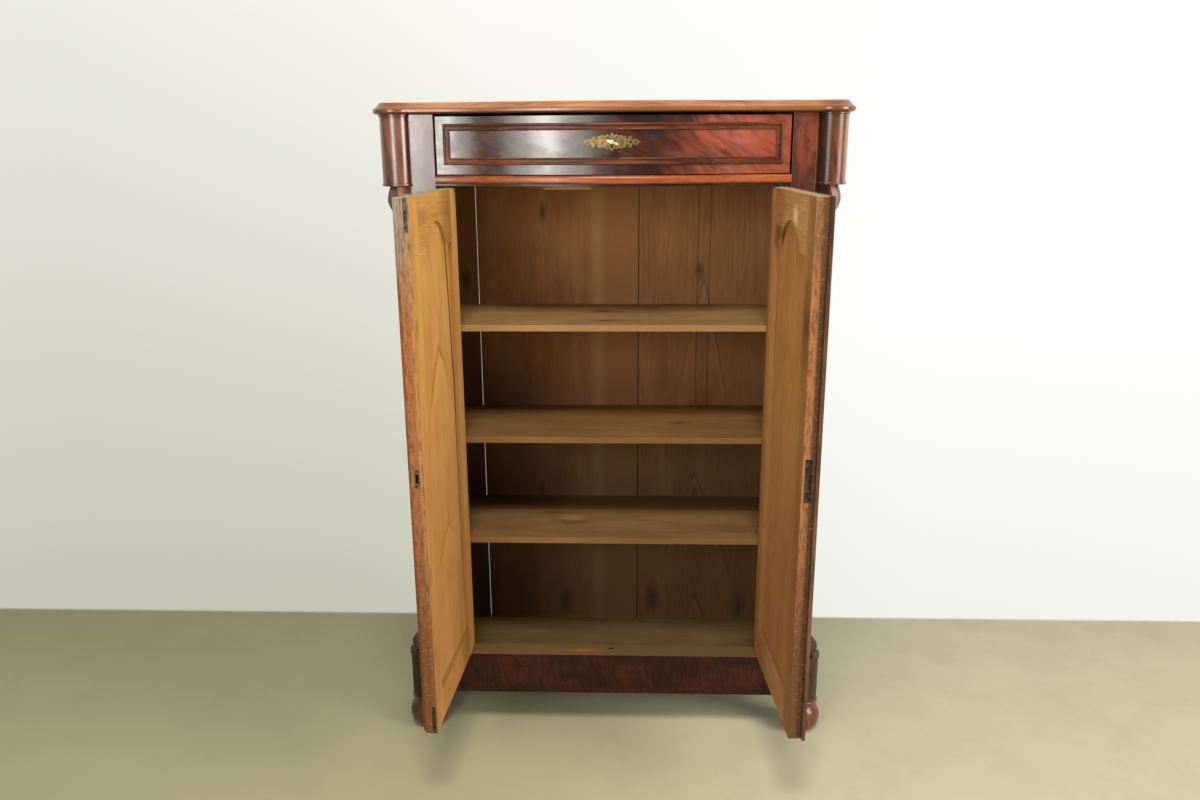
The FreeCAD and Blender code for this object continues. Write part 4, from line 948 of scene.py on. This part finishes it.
clear = addNode(tree, "ShaderNodeBsdfTransparent", {"Color": (1, 1, 1, 1)})
both = addNode(tree, "ShaderNodeMixShader", {0: clearShare, 1: shader.outputs[0], 2: clear})
tree.links.new(both, tree.nodes["Material Output"].inputs["Surface"])
floorMesh.materials.append(floorMaterial)

# World: dim room light on the object, and a pale wall behind it, greyer to the left and low down
# as painted shade
roomLook = {"hex": "e8e6e0", "strength": 0.2}
wallLook = {  # ranges are parts of a ray's direction: rise along Z, turn along X, behind along Y
    "low": "c2c3b1", "high": "fafaf0", "rise": (-0.47, 0.12),
    "brightLow": "f0f1e7", "brightHigh": "ffffff", "brightRise": (-0.47, -0.18),
    "turn": (-0.3, 0.3), "far": "a9ab98", "farTurn": (-0.15, -0.5), "farShare": 0.22,
    "behind": (0.0, 0.25)}
world = bpy.data.worlds.new("studio")
scene.world = world
world.use_nodes = True
tree = world.node_tree
room = tree.nodes["Background"]
room.inputs["Color"].default_value = linear(roomLook["hex"])
room.inputs["Strength"].default_value = roomLook["strength"]
rays = addNode(tree, "ShaderNodeLightPath").node.outputs
way = addNode(tree, "ShaderNodeTexCoord", out="Generated")
way = addNode(tree, "ShaderNodeSeparateXYZ", {0: way}).node.outputs
height = addNode(tree, "ShaderNodeMapRange",
                 {0: way["Z"], 1: wallLook["rise"][0], 2: wallLook["rise"][1]})
wall = addNode(tree, "ShaderNodeMix",
               {0: height, 6: linear(wallLook["low"]), 7: linear(wallLook["high"])},
               out=2, data_type="RGBA")
bright = addNode(tree, "ShaderNodeMapRange",
                 {0: way["Z"], 1: wallLook["brightRise"][0], 2: wallLook["brightRise"][1]})
brightWall = addNode(tree, "ShaderNodeMix",
                     {0: bright, 6: linear(wallLook["brightLow"]),
                      7: linear(wallLook["brightHigh"])}, out=2, data_type="RGBA")
towards = addNode(tree, "ShaderNodeMapRange",
                  {0: way["X"], 1: wallLook["turn"][0], 2: wallLook["turn"][1]},
                  interpolation_type="SMOOTHSTEP")
wall = addNode(tree, "ShaderNodeMix", {0: towards, 6: wall, 7: brightWall},
               out=2, data_type="RGBA")
far = addNode(tree, "ShaderNodeMapRange",
              {0: way["X"], 1: wallLook["farTurn"][0], 2: wallLook["farTurn"][1],
               3: 0.0, 4: wallLook["farShare"]})
wall = addNode(tree, "ShaderNodeMix", {0: far, 6: wall, 7: linear(wallLook["far"])},
               out=2, data_type="RGBA")
backdrop = addNode(tree, "ShaderNodeBackground", {"Color": wall, "Strength": 1.0})
behind = addNode(tree, "ShaderNodeMapRange",
                 {0: way["Y"], 1: wallLook["behind"][0], 2: wallLook["behind"][1]})
seen = addNode(tree, "ShaderNodeMath", {0: rays["Is Glossy Ray"], 1: behind}, operation="MULTIPLY")
seen = addNode(tree, "ShaderNodeMath", {0: seen, 1: rays["Is Transmission Ray"]},
               operation="MAXIMUM")
seen = addNode(tree, "ShaderNodeMath", {0: seen, 1: rays["Is Camera Ray"]}, operation="MAXIMUM")
both = addNode(tree, "ShaderNodeMixShader", {0: seen, 1: room.outputs[0], 2: backdrop})
tree.links.new(both, tree.nodes["World Output"].inputs["Surface"])

lamps = {
    "rightWindow": {"place": (3.2, -1.9, 2.0), "aim": (-0.2, 0, 0.9), "size": (1.6, 2.0),
                    "watts": 115, "hex": "fff6e6"},
    "leftWindow": {"place": (-1.2, -2.9, 1.75), "aim": (-0.3, 0, 1.1), "size": (0.5, 1.4),
                   "watts": 19, "hex": "fbfaf2"},
    "leftCurtain": {"place": (-1.2, -3.05, 1.75), "aim": (-0.3, 0, 1.1), "size": (1.6, 1.4),
                    "watts": 28, "hex": "fbf6ee"},
    "skylight": {"place": (0.0, -2.6, 4.2), "aim": (0, 0, 0.9), "size": (1.2, 0.8),
                 "watts": 122, "hex": "fff8ea"},
}
for name, lamp in lamps.items():
    data = bpy.data.lights.new(name, "AREA")
    data.shape = "RECTANGLE"
    data.size, data.size_y = lamp["size"]
    data.energy = lamp["watts"]
    data.color = linear(lamp["hex"])[:3]
    light = bpy.data.objects.new(name, data)
    light.location = lamp["place"]
    ray = Vector(lamp["aim"]) - light.location
    light.rotation_euler = ray.to_track_quat("-Z", "Y").to_euler()
    scene.collection.objects.link(light)

photoCamera = {"place": (0.0447, -2.1452, 1.454), "yaw": -0.0346, "pitch": 0.2657, "roll": 0.0057,
               "lens": 28.94, "sensor": 36.0}
yaw, pitch, roll = photoCamera["yaw"], photoCamera["pitch"], photoCamera["roll"]
ahead = Vector((math.sin(yaw) * math.cos(pitch), math.cos(yaw) * math.cos(pitch),
                -math.sin(pitch)))
level = Vector((math.cos(yaw), -math.sin(yaw), 0))
down = ahead.cross(level)
right = math.cos(roll) * level + math.sin(roll) * down
down = math.cos(roll) * down - math.sin(roll) * level
camera = bpy.data.objects.new("camera", bpy.data.cameras.new("camera"))
camera.data.lens = photoCamera["lens"]
camera.data.sensor_width = photoCamera["sensor"]
turned = Matrix((right, -down, -ahead)).transposed().to_4x4()
camera.matrix_world = Matrix.Translation(photoCamera["place"]) @ turned
scene.collection.objects.link(camera)
scene.camera = camera
print("stage set")
